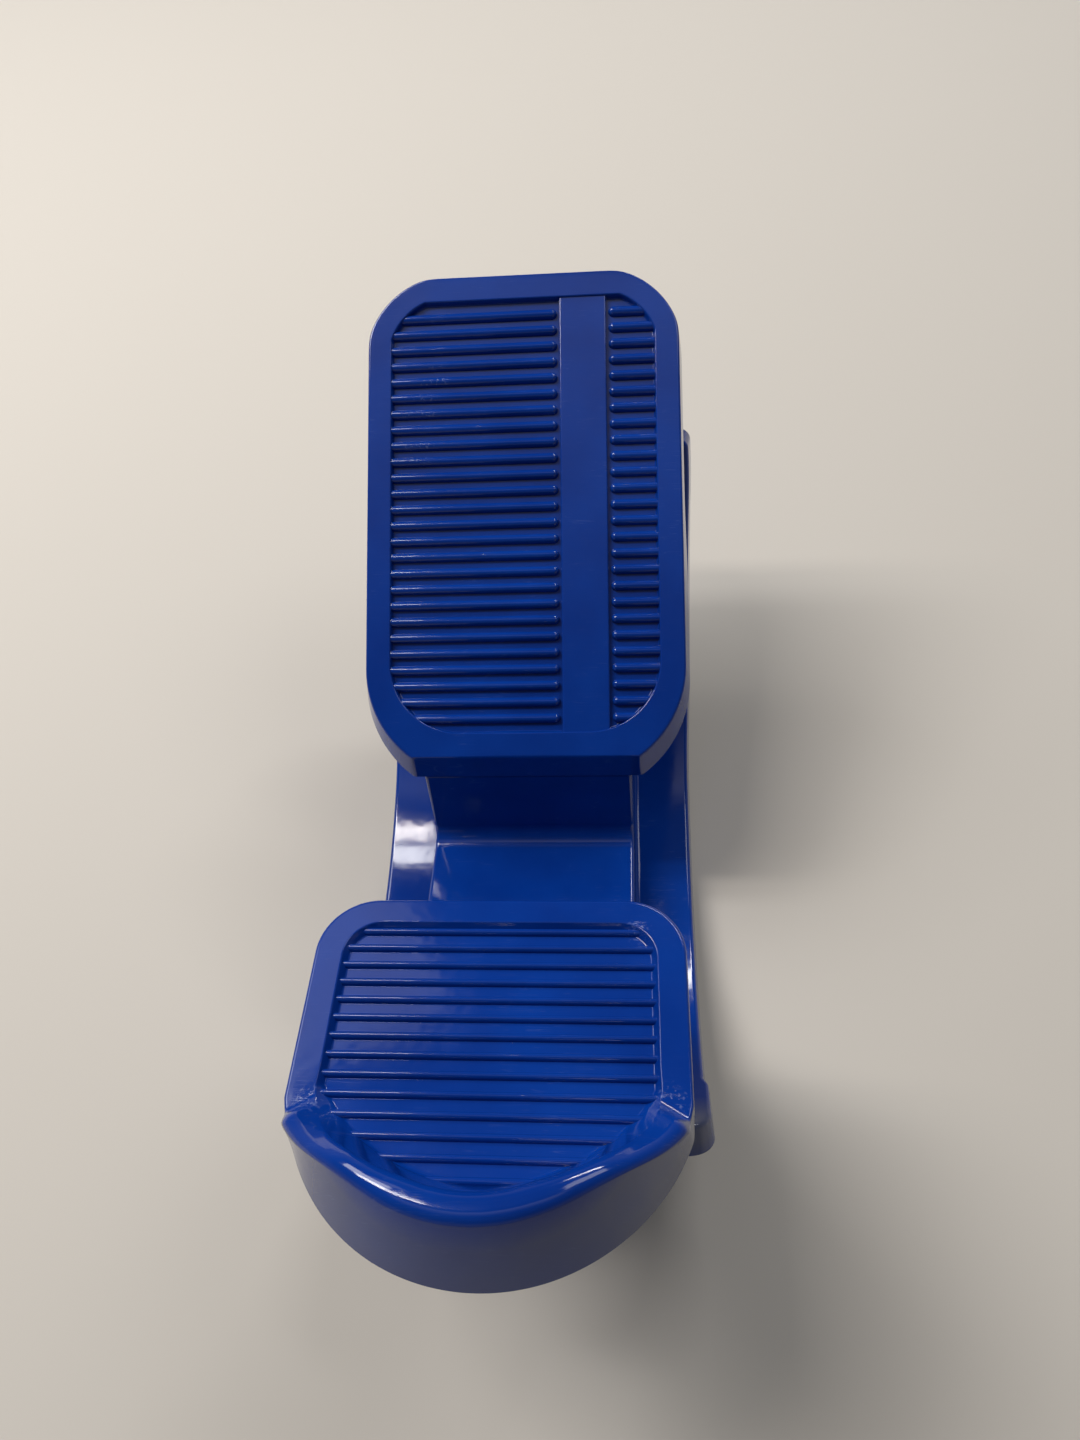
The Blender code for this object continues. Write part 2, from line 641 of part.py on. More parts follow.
def pedestal_block(name, inset, foot_radius):
    outline = pedestal_outline(inset, foot_radius)
    half = pedestal_half_width(outline[:, 1], inset)
    right = np.column_stack([half, outline])
    return loft(name, [right, right * (-1, 1, 1)])


def foot_coves():
    """A small hollow fillet on both sides, where the pedestal's walls meet the flanges."""
    bm = bmesh.new()
    top = SOLE_RADIUS - SOLE_THICK
    curve = arc(FOOT_COVE, FOOT_COVE, FOOT_COVE, 180, 270, 4)
    margin = math.degrees(FOOT_COVE / SOLE_RADIUS)
    for side in (-1, 1):
        rings = []
        for angle in np.linspace(BOX_REAR_DEG + margin, BOX_FRONT_DEG - margin, 27):
            foot_z = on_sole(top, angle)[1]
            wall = pedestal_half_width(foot_z, 0)
            points = [(side * (wall - MM), *on_sole(top + MM, angle)), (side * (wall - MM), *on_sole(top - FOOT_COVE, angle))]
            points += [(side * (wall + out), *on_sole(top - up, angle)) for out, up in curve]
            points.append((side * (wall + FOOT_COVE), *on_sole(top + MM, angle)))
            rings.append(points)
        add_loft(bm, rings)
    return mesh_from_bmesh(bm, "foot_coves")


def sole_angles(inset):
    """Angles of the sole's stations: close together round the corners at both ends."""
    end = math.degrees(inset / SOLE_RADIUS)
    rear = SOLE_REAR_DEG + end
    front = SOLE_FRONT_DEG - end
    round_off = (1 - np.cos(np.linspace(0, math.pi / 2, 6))) * math.degrees((SOLE_CORNER - inset) / SOLE_RADIUS)
    steps = np.array([REAR_WIDE_DEG, REAR_WIDE_DEG + WIDENING_DEG, FRONT_WIDE_DEG - WIDENING_DEG, FRONT_WIDE_DEG])
    steps += end * 0.2
    first = rear + round_off[-1]
    last = front - round_off[-1]
    count = round((last - first) / SOLE_STEP_DEG)
    angles = np.concatenate([rear + round_off, np.linspace(first, last, count)[1:-1], steps, front - round_off])
    return np.unique(np.round(angles, 3))


def sole_half_width(angle_deg, inset):
    """Half the sole's width: a little wider near both ends, and rounded off at their corners."""
    angle_deg = np.asarray(angle_deg)
    wide = smooth_step((REAR_WIDE_DEG + WIDENING_DEG - angle_deg) / WIDENING_DEG)
    wide += smooth_step((angle_deg - FRONT_WIDE_DEG + WIDENING_DEG) / WIDENING_DEG)
    taper = np.clip((angle_deg - FRONT_NARROW_FROM_DEG) / (SOLE_FRONT_DEG - FRONT_NARROW_FROM_DEG), 0, 1)
    half = SOLE_HALF_WIDTH + END_WIDENING * wide - FRONT_NARROWING * taper**2 - inset
    to_end = np.minimum(angle_deg - SOLE_REAR_DEG, SOLE_FRONT_DEG - angle_deg)
    distance = np.maximum(np.radians(to_end) * SOLE_RADIUS - inset, 0)
    corner = SOLE_CORNER - inset
    missing = np.maximum(corner - distance, 0)
    return half - (corner - np.sqrt(corner**2 - missing**2))


def sole_body(name, section, angles, inset):
    """A body along the sole's arc. The section gives each corner's side, inset from the edge, and radius."""
    rings = []
    for angle in angles:
        half = float(sole_half_width(angle, inset))
        rings.append([(side * (half - edge), *on_sole(radius, angle)) for side, edge, radius in section])
    return loft(name, rings)


def sole_block():
    """The sole before it is hollowed: a curved slab with eased upper edges, a little wider at the bottom."""
    top = SOLE_RADIUS - SOLE_THICK
    half_section = (
        (SOLE_FLARE + 1.8 * MM, top),
        (SOLE_FLARE + 0.7 * MM, top + 0.4 * MM),
        (SOLE_FLARE + 0.1 * MM, top + 1.6 * MM),
        (0.0, SOLE_RADIUS - 1.0 * MM),
        (0.8 * MM, SOLE_RADIUS),
    )
    right = [(1, edge, radius) for edge, radius in half_section]
    left = [(-1, edge, radius) for edge, radius in reversed(half_section)]
    return sole_body("sole_block", right + left, sole_angles(0), 0)


def plate_pocket():
    """The seat that the sole plate drops into, open at the bottom."""
    roof = SOLE_RADIUS - PLATE_THICK - 2 * SEAT_GAP
    section = [(1, 0, roof), (1, 0, SOLE_RADIUS + 4 * MM), (-1, 0, SOLE_RADIUS + 4 * MM), (-1, 0, roof)]
    return sole_body("plate_pocket", section, sole_angles(SKIRT_WALL), SKIRT_WALL)


def flange_cells():
    """Hollows under the flanges on both sides of the pedestal, parted by gussets, and one in front of it."""
    bm = bmesh.new()
    roof = SOLE_RADIUS - SOLE_THICK + FLANGE_WALL
    floor = SOLE_RADIUS - PLATE_THICK
    inner = BOX_TOP_HALF_WIDTH + BOX_DRAFT * BOX_DRAFT_FROM_Z + 1.0 * MM
    inset = SKIRT_WALL + SOLE_FLARE
    half_gusset = math.degrees(GUSSET_THICK / 2 / SOLE_RADIUS)
    first = SOLE_REAR_DEG + math.degrees((inset + SOLE_CORNER) / SOLE_RADIUS)
    last = SOLE_FRONT_DEG - math.degrees((inset + SOLE_CORNER) / SOLE_RADIUS)
    count = round((last - first) / GUSSETS_EVERY_DEG)
    marks = np.linspace(first, last, count + 1)
    for low, high in zip(marks[:-1], marks[1:]):
        for side in (-1, 1):
            rings = []
            for angle in np.linspace(low + half_gusset, high - half_gusset, 4):
                outer = float(sole_half_width(angle, inset))
                corners = ((inner, roof), (outer, roof), (outer, floor), (inner, floor))
                rings.append([(side * x, *on_sole(radius, angle)) for x, radius in corners])
            add_loft(bm, rings)
    middle = inner - GUSSET_THICK
    corners = ((-middle, roof), (middle, roof), (middle, floor), (-middle, floor))
    toe_angles = np.linspace(BOX_FRONT_DEG + TOE_CELL_FROM_DEG, last, 6)
    add_loft(bm, [[(x, *on_sole(radius, angle)) for x, radius in corners] for angle in toe_angles])
    return mesh_from_bmesh(bm, "flange_cells")


def web_slabs():
    """Slabs where the pedestal keeps its cross webs."""
    bm = bmesh.new()
    for y in WEB_Y:
        size = Matrix.Diagonal((0.2, WEB_THICK, 0.4, 1.0))
        bmesh.ops.create_cube(bm, size=1.0, matrix=Matrix.Translation((0, y, 0.1)) @ size)
    return mesh_from_bmesh(bm, "web_slabs")


def deck_holes(name, rows, thick, frame, cutters):
    """Holes in a deck that the platform's bosses pass through."""
    low = -(thick + SEAT_GAP + BOX_WALL + 2.2 * MM)
    mesh = cylinders(name, screw_places(rows), BOSS_RADIUS + BOSS_CLEARANCE, low, -thick + 1.5 * MM)
    holes = add_cutter(name, mesh, cutters)
    holes.matrix_world = frame
    return holes


def deck_windows():
    """Openings in the forefoot deck that keep the toe end light. The platform covers them."""
    bm = bmesh.new()
    for low, high in DECK_WINDOWS:
        size = Matrix.Diagonal((2 * DECK_WINDOW_HALF, high - low, 2 * BOX_WALL + 4 * MM, 1.0))
        at = Matrix.Translation((0, (low + high) / 2, -FORE_THICK - BOX_WALL / 2))
        bmesh.ops.create_cube(bm, size=1.0, matrix=at @ size)
    return mesh_from_bmesh(bm, "deck_windows")


def make_frame(parts, cutters):
    """The rocker frame: pedestal and sole in one hollow moulding, open at the bottom."""
    frame = add_object("rocker_frame", sole_block(), parts)
    foot = SOLE_RADIUS - SOLE_THICK / 2
    block = add_cutter("pedestal_block", pedestal_block("pedestal_block", 0, foot), cutters)
    cells = add_cutter("pedestal_cells", pedestal_block("pedestal_cells", BOX_WALL, SOLE_RADIUS - PLATE_THICK), cutters)
    boolean(cells, "webs", add_cutter("web_slabs", web_slabs(), cutters), "DIFFERENCE")
    boolean(frame, "pedestal", block, "UNION")
    boolean(frame, "foot_coves", add_cutter("foot_coves", foot_coves(), cutters), "UNION")
    boolean(frame, "plate_pocket", add_cutter("plate_pocket", plate_pocket(), cutters), "DIFFERENCE")
    boolean(frame, "flange_cells", add_cutter("flange_cells", flange_cells(), cutters), "DIFFERENCE")
    boolean(frame, "pedestal_cells", cells, "DIFFERENCE")
    boolean(frame, "fore_holes", deck_holes("fore_holes", FORE_SCREWS_Y, FORE_THICK, fore_frame(), cutters), "DIFFERENCE")
    boolean(frame, "heel_holes", deck_holes("heel_holes", HEEL_SCREWS_Y, HEEL_THICK, heel_frame(), cutters), "DIFFERENCE")
    windows = add_cutter("deck_windows", deck_windows(), cutters)
    windows.matrix_world = fore_frame()
    boolean(frame, "deck_windows", windows, "DIFFERENCE")
    give_material(frame, "rocker_frame", MOULDED_BLUE, 0.22)
    shade_smooth(frame)


def make_sole_plate(parts):
    """The curved plate that closes the frame from below, seated inside the skirt."""
    inset = SKIRT_WALL + SEAT_GAP
    top = SOLE_RADIUS - PLATE_THICK - SEAT_GAP
    bottom = SOLE_RADIUS - SEAT_GAP
    ease = 0.6 * MM
    section = [(1, 0, top), (1, 0, bottom - ease), (1, ease, bottom), (-1, ease, bottom), (-1, 0, bottom - ease), (-1, 0, top)]
    plate = add_object("sole_plate", sole_body("sole_plate", section, sole_angles(inset), inset), parts)
    give_material(plate, "sole_plate", MOULDED_BLUE, 0.3)
    shade_smooth(plate)


def tread_outline():
    """Side view of the tread: ridges across a thin band, flattened at the lowest point so that it stands still."""
    outer = SOLE_AXIS_Z / math.cos(TREAD_FLAT_HALF / SOLE_AXIS_Z)
    root = SOLE_RADIUS + TREAD_BASE - SEAT_GAP
    inner = SOLE_RADIUS
    pitch = (TREAD_FRONT_DEG - TREAD_REAR_DEG) / TREAD_RIDGES
    middle_ridge = round(-TREAD_REAR_DEG / pitch - 0.5)
    rear = -(middle_ridge + 0.5) * pitch
    top_half = pitch * TREAD_RIDGE_SHARE / 2
    root_half = top_half + pitch * 0.08
    points = []
    for i in range(TREAD_RIDGES):
        centre = rear + (i + 0.5) * pitch
        points.append(on_sole(root, centre - root_half))
        for deg in (centre - top_half, centre + top_half):
            y, z = on_sole(outer, deg)
            points.append((y, max(z, 0.0)))
        points.append(on_sole(root, centre + root_half))
    back = np.linspace(rear + TREAD_RIDGES * pitch, rear, 36)
    points += [on_sole(inner, deg) for deg in back]
    return np.array(points)


def make_tread(parts):
    """The rubber tread that the object rolls on."""
    outline = tread_outline()
    right = np.column_stack([np.full(len(outline), TREAD_HALF_WIDTH), outline])
    tread = add_object("sole_tread", loft("sole_tread", [right, right * (-1, 1, 1)]), parts)
    give_material(tread, "sole_tread", TREAD_BLACK, 0.8)


def screw_mesh():
    """A washer-head screw, turned from its profile: the shank points up into the boss."""
    profile = (
        (0, SHANK_LENGTH),
        (SHANK_RADIUS * 0.6, SHANK_LENGTH),
        (SHANK_RADIUS, SHANK_LENGTH - 1.0 * MM),
        (SHANK_RADIUS, 0),
        (WASHER_RADIUS, 0),
        (WASHER_RADIUS, -WASHER_THICK),
        (HEAD_RADIUS, -WASHER_THICK),
        (HEAD_RADIUS * 0.75, -WASHER_THICK - HEAD_HEIGHT),
        (0, -WASHER_THICK - HEAD_HEIGHT),
    )
    mesh = bpy.data.meshes.new("platform_screw")
    edges = [(i, i + 1) for i in range(len(profile) - 1)]
    mesh.from_pydata([(x, 0, z) for x, z in profile], edges, [])
    return mesh


def make_screws(prefix, rows, thick, frame, mesh, parts):
    seat = -(thick + SEAT_GAP + BOX_WALL + SEAT_GAP)
    for number, (x, y) in enumerate(screw_places(rows), start=1):
        screw = add_object(f"{prefix}_screw_{number}", mesh, parts)
        turned = screw.modifiers.new("turned", "SCREW")
        turned.steps = 20
        turned.render_steps = 20
        turned.use_merge_vertices = True
        turned.merge_threshold = 0.00001
        screw.matrix_world = frame @ Matrix.Translation((x, y, seat))


def main():
    clear_scene()
    parts = new_collection("calf_stretcher")
    cutters = new_collection("cutters", hidden=True)
    make_frame(parts, cutters)
    make_sole_plate(parts)
    make_tread(parts)
    fore = fore_outlines()
    heel = heel_outlines()
    fore_extras = [fore_ribs(fore[1]), bare_strip()]
    heel_extras = [heel_ribs(heel[1])]
    fore_place = (FORE_SCREWS_Y, FORE_THICK, fore_frame())
    heel_place = (HEEL_SCREWS_Y, HEEL_THICK, heel_frame())
    make_platform("forefoot_platform", fore_rings(fore), fore_extras, [], *fore_place, parts, cutters)
    make_platform("heel_platform", heel_rings(heel), heel_extras, [cup_core(heel)], *heel_place, parts, cutters)
    screw = screw_mesh()
    make_screws("forefoot", FORE_SCREWS_Y, FORE_THICK, fore_frame(), screw, parts)
    make_screws("heel", HEEL_SCREWS_Y, HEEL_THICK, heel_frame(), screw, parts)
    first = parts.objects["forefoot_screw_1"]
    give_material(first, "platform_screw", ZINC_GREY, 0.35, metallic=0.9)


main()
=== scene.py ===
"""Looks of the rocking calf stretcher: blue mouldings, a black tread and zinc screws in a pale room."""

import math

import bmesh
import bpy
import numpy as np
from mathutils import Matrix


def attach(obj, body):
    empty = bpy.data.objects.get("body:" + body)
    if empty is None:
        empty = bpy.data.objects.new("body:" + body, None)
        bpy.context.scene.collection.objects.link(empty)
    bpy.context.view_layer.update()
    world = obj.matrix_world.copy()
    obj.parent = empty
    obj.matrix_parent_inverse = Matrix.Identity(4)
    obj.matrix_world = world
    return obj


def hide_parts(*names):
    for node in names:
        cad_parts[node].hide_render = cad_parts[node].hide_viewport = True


MM = 0.001

# Camera: the photograph's view, from above and behind the heel cup, in millimetres
CAMERA_AT = (40.3, -181.5, 431.8)
CAMERA_RIGHT = (0.99624, 0.03321, -0.08002)
CAMERA_UP = (0.01171, 0.86354, 0.50414)
CAMERA_BACK = (0.08584, -0.50318, 0.85991)
CAMERA_LENS = 26.0
CAMERA_SENSOR = 36
CAMERA_NEAR_M = 0.01
CAMERA_FAR_M = 20

# Shading and rounding of every moulding
SHARP_FROM_DEG = 40
CORNER_SHARE = 0.49
PROFILE_STEPS = 6
CUP_PROFILE_STEPS = 10

# Both platforms: the rim's parts, how far in the skirt's slide acts, and how far each corner is eased
RIM_WIDTH = 9.3
RIM_OUTER_FLAT = 2.4
RIM_INNER_FLAT = 1.8
RECESS_DEPTH = 2.7
RECESS_WALL_LEAN = 0.6
PLATFORM_WALL = 2.5
UNDERSIDE_IN = 5.0
SLIDES_WITHIN = 6.0
SKIRT_INNER_EASE = 0.3
SKIRT_OUTER_EASE = 0.5
RIM_EASE = 1.1
RECESS_EDGE_EASE = 0.6
RECESS_FOOT_EASE = 0.7

# Forefoot platform, in its own plane in millimetres: x across, y from its rear edge to its raised tip
FORE_PITCH_DEG = 27.4
FORE_REAR = (6.5, 82.6)
FORE_LENGTH = 189.6
FORE_HALF_REAR = 61.9
FORE_HALF_FRONT = 61.0
FORE_REAR_ARC = (18.6, 35.0, 43.3)
FORE_FRONT_ARC = (29.0, 157.5, 33.4)
FORE_RECESS_REAR_ARC = (24.9, 36.9, 27.5)
FORE_RECESS_FRONT_ARC = (29.0, 157.5, 24.1)
FORE_RECESS_HALF = 51.8
FORE_RECESS_TIP = 179.7
FORE_ARC_STEPS = 28
FORE_STRAIGHT_STEPS = 26
FORE_SKIRT = 10.6
FORE_FLARE = 2.1
FORE_FLARE_TIP = 1.5
FORE_THICK = 5.0
FORE_FLOOR_IN = 2.4
FORE_NEAR_TIP = (70.0, 110.0)
TIP_SOFTENING = 3.0
BELL_STEP = 0.2
BELL_REACH = 80

# Ribs and bare strip of the forefoot platform. The strip's edge is steps in from its side and below its top
FORE_RIBS = 26
FORE_RIB_PITCH = 6.35
FORE_FIRST_RIB = 173.7
FORE_RIB_HALF = 1.95
FORE_RIB_HEIGHT = 2.3
FORE_INTO_WALL = 1.5
STRIP_LEFT = 14.7
STRIP_RIGHT = 32.9
STRIP_BELOW_RIM = 0.7
STRIP_GROOVE = 0.9
STRIP_EDGE = ((0.0, 0.6), (0.1, 0.25), (0.3, 0.08), (0.6, 0.0), (1.0, 0.0), (1.6, 0.0))
STRIP_STEPS = 40
RIB_END_DEG = 84
RIB_END_STEPS = 9
RIB_ROUND_STEPS = 13
RIB_ROOT = 0.5

# Heel platform, in its own plane: x across, y = 0 at its front edge, negative towards the cup
HEEL_PITCH_DEG = -11.5
HEEL_FRONT = (-66.9, 124.9)
HEEL_HALF = 56.3
HEEL_CORNER = 18.0
HEEL_ROUND_Y = -50.5
HEEL_ROUND = 57.8
HEEL_RECESS_HALF = 46.7
HEEL_RECESS_FRONT = -8.9
HEEL_RECESS_CORNER = 10.5
HEEL_RECESS_ROUND_Y = -31.0
HEEL_RECESS_ROUND = 54.4
HEEL_CORNER_STEPS = 26
HEEL_SIDE_STEPS = 52
HEEL_REAR_STEPS = 156
HEEL_FRONT_STEPS = 12
HEEL_SKIRT = 12.0
HEEL_SKIRT_REAR = 7.0
HEEL_FLARE = 0.8
HEEL_FLARE_REAR = 2.4
HEEL_THICK = 6.5
HEEL_FLOOR_IN = 3.0
HEEL_RIBS = 14
HEEL_RIB_PITCH = 5.67
HEEL_FIRST_RIB = -10.2
HEEL_RIB_HALF = 1.15
HEEL_RIB_HEIGHT = 1.7
HEEL_INTO_WALL = 1.8

# Cup: its rim's height and place follow the angle round the heel, counted from where the collar starts
CUP_START_DEG = 73.0
AHEAD_OF_CUP_DEG = -90.0
COLLAR_RISE = 7.5
COLLAR_OUTER_DEG = (0.0, 5.0)
COLLAR_INNER_DEG = (4.0, 34.0)
CUP_RISE = 11.0
CUP_RISE_DEG = (2.0, 57.0)
CUP_RISE_POWER = 1.2
CUP_SKIRT_DEG = (0.0, 50.0)
CUP_FLARE_DEG = (-4.0, 4.0)
CROWN_OUT = 0.3
CROWN_LEAN = 9.3
CROWN_LEAN_DEG = (4.0, 44.0)
CROWN_RADIUS = 4.0
CROWN_INNER = 15.3
CROWN_OFF_RECESS = 1.0
CUP_FOOT_EASE = 4.0

# Sole: an arc about an axis across the object, with zero degrees straight down and positive towards the toes
SOLE_AXIS = (-12.5, 173.3)
SOLE_RADIUS = 172.0
SOLE_TOP = 160.0
SOLE_HALF = 66.7
SOLE_TOP_NARROWER = 1.2
SOLE_TOP_IN = 5.0
SOLE_EDGE_ROUND = 1.9
SOLE_LIP_ROUND = 0.8
SOLE_REAR_DEG = -43.0
SOLE_FRONT_DEG = 69.0
SOLE_REAR_CORNER = 9.0
SOLE_FRONT_CORNER = 5.0
SOLE_END_ROUND = 1.6
REAR_WIDENING = 1.5
REAR_WIDE_DEG = (-35.3, -33.8)
FRONT_WIDENING = 1.3
FRONT_WIDE_DEG = (15.0, 35.0)
FRONT_NARROWING = 1.0
FRONT_NARROW_DEG = (60.0, 69.0)
SKIRT_WALL = 3.2
PLATE_SEAT = 169.2
SEAT_SLOPE = 0.4
SEAT_END_DEPTH = 0.02

# Stations along the sole: distances from each end, then even steps, and closer ones where the rear widens
SOLE_END_STATIONS = (0.0, 0.08, 0.3, 0.65, 1.1, 1.6, 2.2, 3.0, 3.4, 4.0, 5.2, 6.6, 8.0)
SOLE_ENDS_DEG = 3.0
SOLE_STEPS = 170
SOLE_ROUND_STEPS = 7
WIDENING_MARGIN_DEG = 0.1
WIDENING_STEPS = 9

# Pedestal: its side view's corners in millimetres, its half width, and how far its corners are rounded
PEDESTAL_HALF = 40.3
PEDESTAL_DRAFT = 0.014
PEDESTAL_DRAFT_FROM = 120.0
PEDESTAL_EDGE = 1.5
PEDESTAL_EDGE_STEPS = 7
PEDESTAL_DEG = (-37.5, 48.0)
PEDESTAL_INTO_SOLE = 4.0
PEDESTAL_FOOT_STEPS = 60
PEDESTAL_CORNER_STEPS = 9
SEAT_GAP = 0.3
VALLEY_FRONT = (-3.6, 32.6)
VALLEY_REAR = -69.0
VALLEY_FILLET = 7.0
HEEL_DECK = (-4.5, -72.0)
FORE_DECK_TO = 125.0
DECK_ROUND = 2.2
DECK_ROUND_LEAST = 0.4
LEDGE_WIDTH = 3.4
LEDGE_GAP = 0.4
LEDGE_LEAN = 1.36
LEDGE_ROUND = 1.8
LEDGE_ROUND_LEAST = 0.3
LEDGE_HOLLOW = 0.8
FOOT_COVE = 2.4
COVE_STEPS = 130
COVE_ROUND_STEPS = 9
COVE_ROOT = 1.0

# Colours as linear values, and roughness
BLUE_DEEP = (0.001, 0.0255, 0.21)
BLUE_LIGHT = (0.0016, 0.035, 0.262)
BLUE_SCUFFED = (0.16, 0.22, 0.46)
# Painted reflection: a grey mixed into the blue where the cup's outer wall and the sole's rear corners mirror
# the pale floor
BLUE_PAINTED_REFLECTION = (0.13, 0.135, 0.15)
BLUE_PLAIN_ROUGH = 0.2
BLUE_ROUGH = (0.07, 0.12)
SCUFFED_ROUGHER = 0.35
RUBBER_BLACK = (0.016, 0.016, 0.018)
RUBBER_DUSTY = (0.07, 0.067, 0.062)
RUBBER_PLAIN_ROUGH = 0.75
RUBBER_ROUGH = (0.62, 0.9)
RUBBER_DUST = 0.5
ZINC = (0.62, 0.62, 0.6)
ZINC_DULL = (0.45, 0.45, 0.45)
ZINC_PLAIN_ROUGH = 0.35
ZINC_ROUGH = (0.25, 0.45)
FLOOR_PALE = (0.545, 0.515, 0.475)
FLOOR_ROUGH = 0.85
FLOOR_HALF_M = 3

# Noises: each one's scale and detail, and the range of its values that a finish reads
CLOUDS = (24.0, 4.0)
CLOUDS_READ = (0.35, 0.65)
SPECKS = (900.0, 3.0)
SPECKS_READ = (0.57, 0.68)
# The next noise and its range break up the painted grey reflection of the floor into patches
PAINTED_REFLECTION_NOISE = (16.0, 3.0)
PAINTED_REFLECTION_READ = (0.42, 0.58)
GLOSS = (60.0, 5.0)
GLOSS_READ = (0.3, 0.7)
SKIN = (190.0, 1.0)
DUST = (55.0, 6.0)
DUST_READ = (0.45, 0.75)
RUBBER_GRAIN = (1400.0, 3.0)
ZINC_MOTTLE = (500.0, 4.0)
ZINC_READ = (0.3, 0.7)
ZINC_TURNING = (2500.0, 2.0)

# Depths of bump in metres
SKIN_DEPTH_M = 0.00004
SCRATCH_DEPTH_M = 0.00004
GRAIN_DEPTH_M = 0.0001
TURNING_DEPTH_M = 0.00002

# Scratches: two directions, each with a shift of its noise, and how strongly they show
SCRATCH_DIRECTIONS = ((24.0, 3.0), (-58.0, 11.0))
SCRATCH_STRETCH = (26, 760, 26)
SCRATCH_NOISE = (1.0, 1.0)
NOISE_MIDDLE = 0.5
SCRATCH_THIN = 0.011
STROKE_SCALE = 130
STROKE_DETAIL = 2.0
STROKE_READ = (0.52, 0.62)
FAINT_READ = (0.42, 0.6)
FAINT_SCRATCHES = (0.02, 0.1)
RUBBED_SCRATCHES = 0.5
RUBBED_SPECKS = 0.5

# Where feet have rubbed, and where a grey reflection of the floor is painted at the sole's rear corners: each
# patch is a centre and a reach in millimetres
RUBBED_RIBS = (((-40.0, 128.0, 146.0), 9.0), ((-35.0, 139.0, 151.0), 7.0), ((-41.0, 114.0, 138.0), 8.0))
RUBBED_RIM = (
    ((42.0, -77.0, 127.0), 5.0),
    ((50.0, -128.0, 138.0), 6.0),
    ((-49.0, -130.0, 138.0), 5.0),
)
PAINTED_REFLECTION_ENDS = (((64.0, -123.0, 54.0), 15.0), ((-64.0, -123.0, 54.0), 15.0))
PATCH_CORE = 0.3
RIB_TOPS = (-1.4, -0.7)
PAINTED_REFLECTION_SHARE = (0.42, 0.68)

# The cup's outer wall in metres, where a grey reflection of the floor is painted: behind one line, above
# another, facing away from the cup's middle, far from it, and steep. Each pair is where the share starts and
# ends
CUP_MIDDLE = (0.0, -0.117, 0.0)
SEEN_FROM_ABOVE = (1, 1, 0)
WALL_BEHIND = (-0.132, -0.112)
WALL_ABOVE = (0.09, 0.1)
WALL_FACING = (0.0, 0.01)
WALL_REACH = (0.046, 0.05)
WALL_UPWARD = (0.5, 0.62)

# Lamps, in metres and watts: name, place, whether it is aimed at the object, length, width, power and colour
AIMED_AT = (0, 0, 0.1)
DAY = (1, 0.985, 0.96)
WARM = (1, 0.93, 0.85)
LAMPS = (
    ("near_ceiling_lamp", (-0.96, 0.295, 1.5), False, 1.26, 0.1, 12, WARM),
    ("far_ceiling_lamp", (-0.96, 0.46, 1.5), False, 1.26, 0.13, 10, DAY),
    ("left_window", (-1.15, 0.75, 1.5), True, 0.8, 0.8, 14, DAY),
    ("right_window", (0.95, 0.5, 1.6), True, 0.7, 0.7, 5, DAY),
    ("front_lamp", (0.43, 1.25, 1.15), True, 0.65, 0.14, 7.5, DAY),
    ("front_glow", (-0.7, 1.22, 1.66), True, 0.55, 0.5, 0.95, DAY),
)

# The room by direction: colours overhead, at the walls and in the glow, and where each one starts and ends
ROOM_OVERHEAD = (0.05, 0.055, 0.06)
ROOM_WALLS = (0.25, 0.245, 0.24)
ROOM_GLOW = (0.66, 0.66, 0.68)
WALLS_UPWARD = (0.1, 0.4)
GLOW_FROM_REAR = (-0.42, 0.0)
GLOW_POWER = 1.5
GLOW_TO_FRONT = (-0.03, 0.08)
GLOW_UPWARD = (0.8, 0.9)


# Curves and meshes from arrays


def arc(centre_x, centre_y, radius, start_deg, end_deg, steps):
    """Points of a circle: centre plus radius times (cos a, sin a), with a running evenly between the ends."""
    angles = np.radians(np.linspace(start_deg, end_deg, steps))
    return np.column_stack([centre_x + radius * np.cos(angles), centre_y + radius * np.sin(angles)])


def smooth_step(value, first, last):
    """Zero before first, one after last, and the cubic t * t * (3 - 2 t) between, t the share of the way."""
    t = np.clip((value - first) / (last - first), 0, 1)
    return t * t * (3 - 2 * t)


def sine_ramp(value, first, last):
    """Zero before first, one after last, and the first quarter of a sine wave between."""
    return np.sin(np.clip((value - first) / (last - first), 0, 1) * math.pi / 2)


def lofts_mesh(name, bodies):
    """One mesh of closed bodies. A body is an array rings x points x 3 in millimetres: each ring is joined
    to the next by quads, and the first and last ring are filled."""
    points = []
    faces = []
    start = 0
    for rings in bodies:
        count, around = rings.shape[:2]
        index = start + np.arange(count * around).reshape(count, around)
        ahead = np.roll(index, -1, axis=1)
        quads = np.stack([index[:-1], ahead[:-1], ahead[1:], index[1:]], axis=-1)
        faces += quads.reshape(-1, 4).tolist()
        faces += [index[0].tolist(), index[-1][::-1].tolist()]
        points.append(rings.reshape(-1, 3))
        start += count * around
    mesh = bpy.data.meshes.new(name)
    mesh.from_pydata((np.vstack(points) * MM).tolist(), [], faces)
    bm = bmesh.new()
    bm.from_mesh(mesh)
    bmesh.ops.recalc_face_normals(bm, faces=bm.faces[:])
    bm.to_mesh(mesh)
    bm.free()
    mesh.shade_smooth()
    return mesh


def add_piece(name, mesh, material, slot, *nodes):
    """Puts a finished mesh in the scene as a piece that stands for these CAD nodes."""
    piece = bpy.data.objects.new(name, mesh)
    bpy.context.scene.collection.objects.link(piece)
    mesh.materials.append(material)
    mesh.set_sharp_from_angle(angle=math.radians(SHARP_FROM_DEG))
    weighted = piece.modifiers.new("even_shading", "WEIGHTED_NORMAL")
    weighted.keep_sharp = True
    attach(piece, "root")
    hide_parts(*nodes)


def platform_matrix(pitch_deg, place):
    """A platform's own axes in the object's frame."""
    turn = Matrix.Rotation(math.radians(pitch_deg), 4, "X")
    return Matrix.Translation((0, place[0] * MM, place[1] * MM)) @ turn


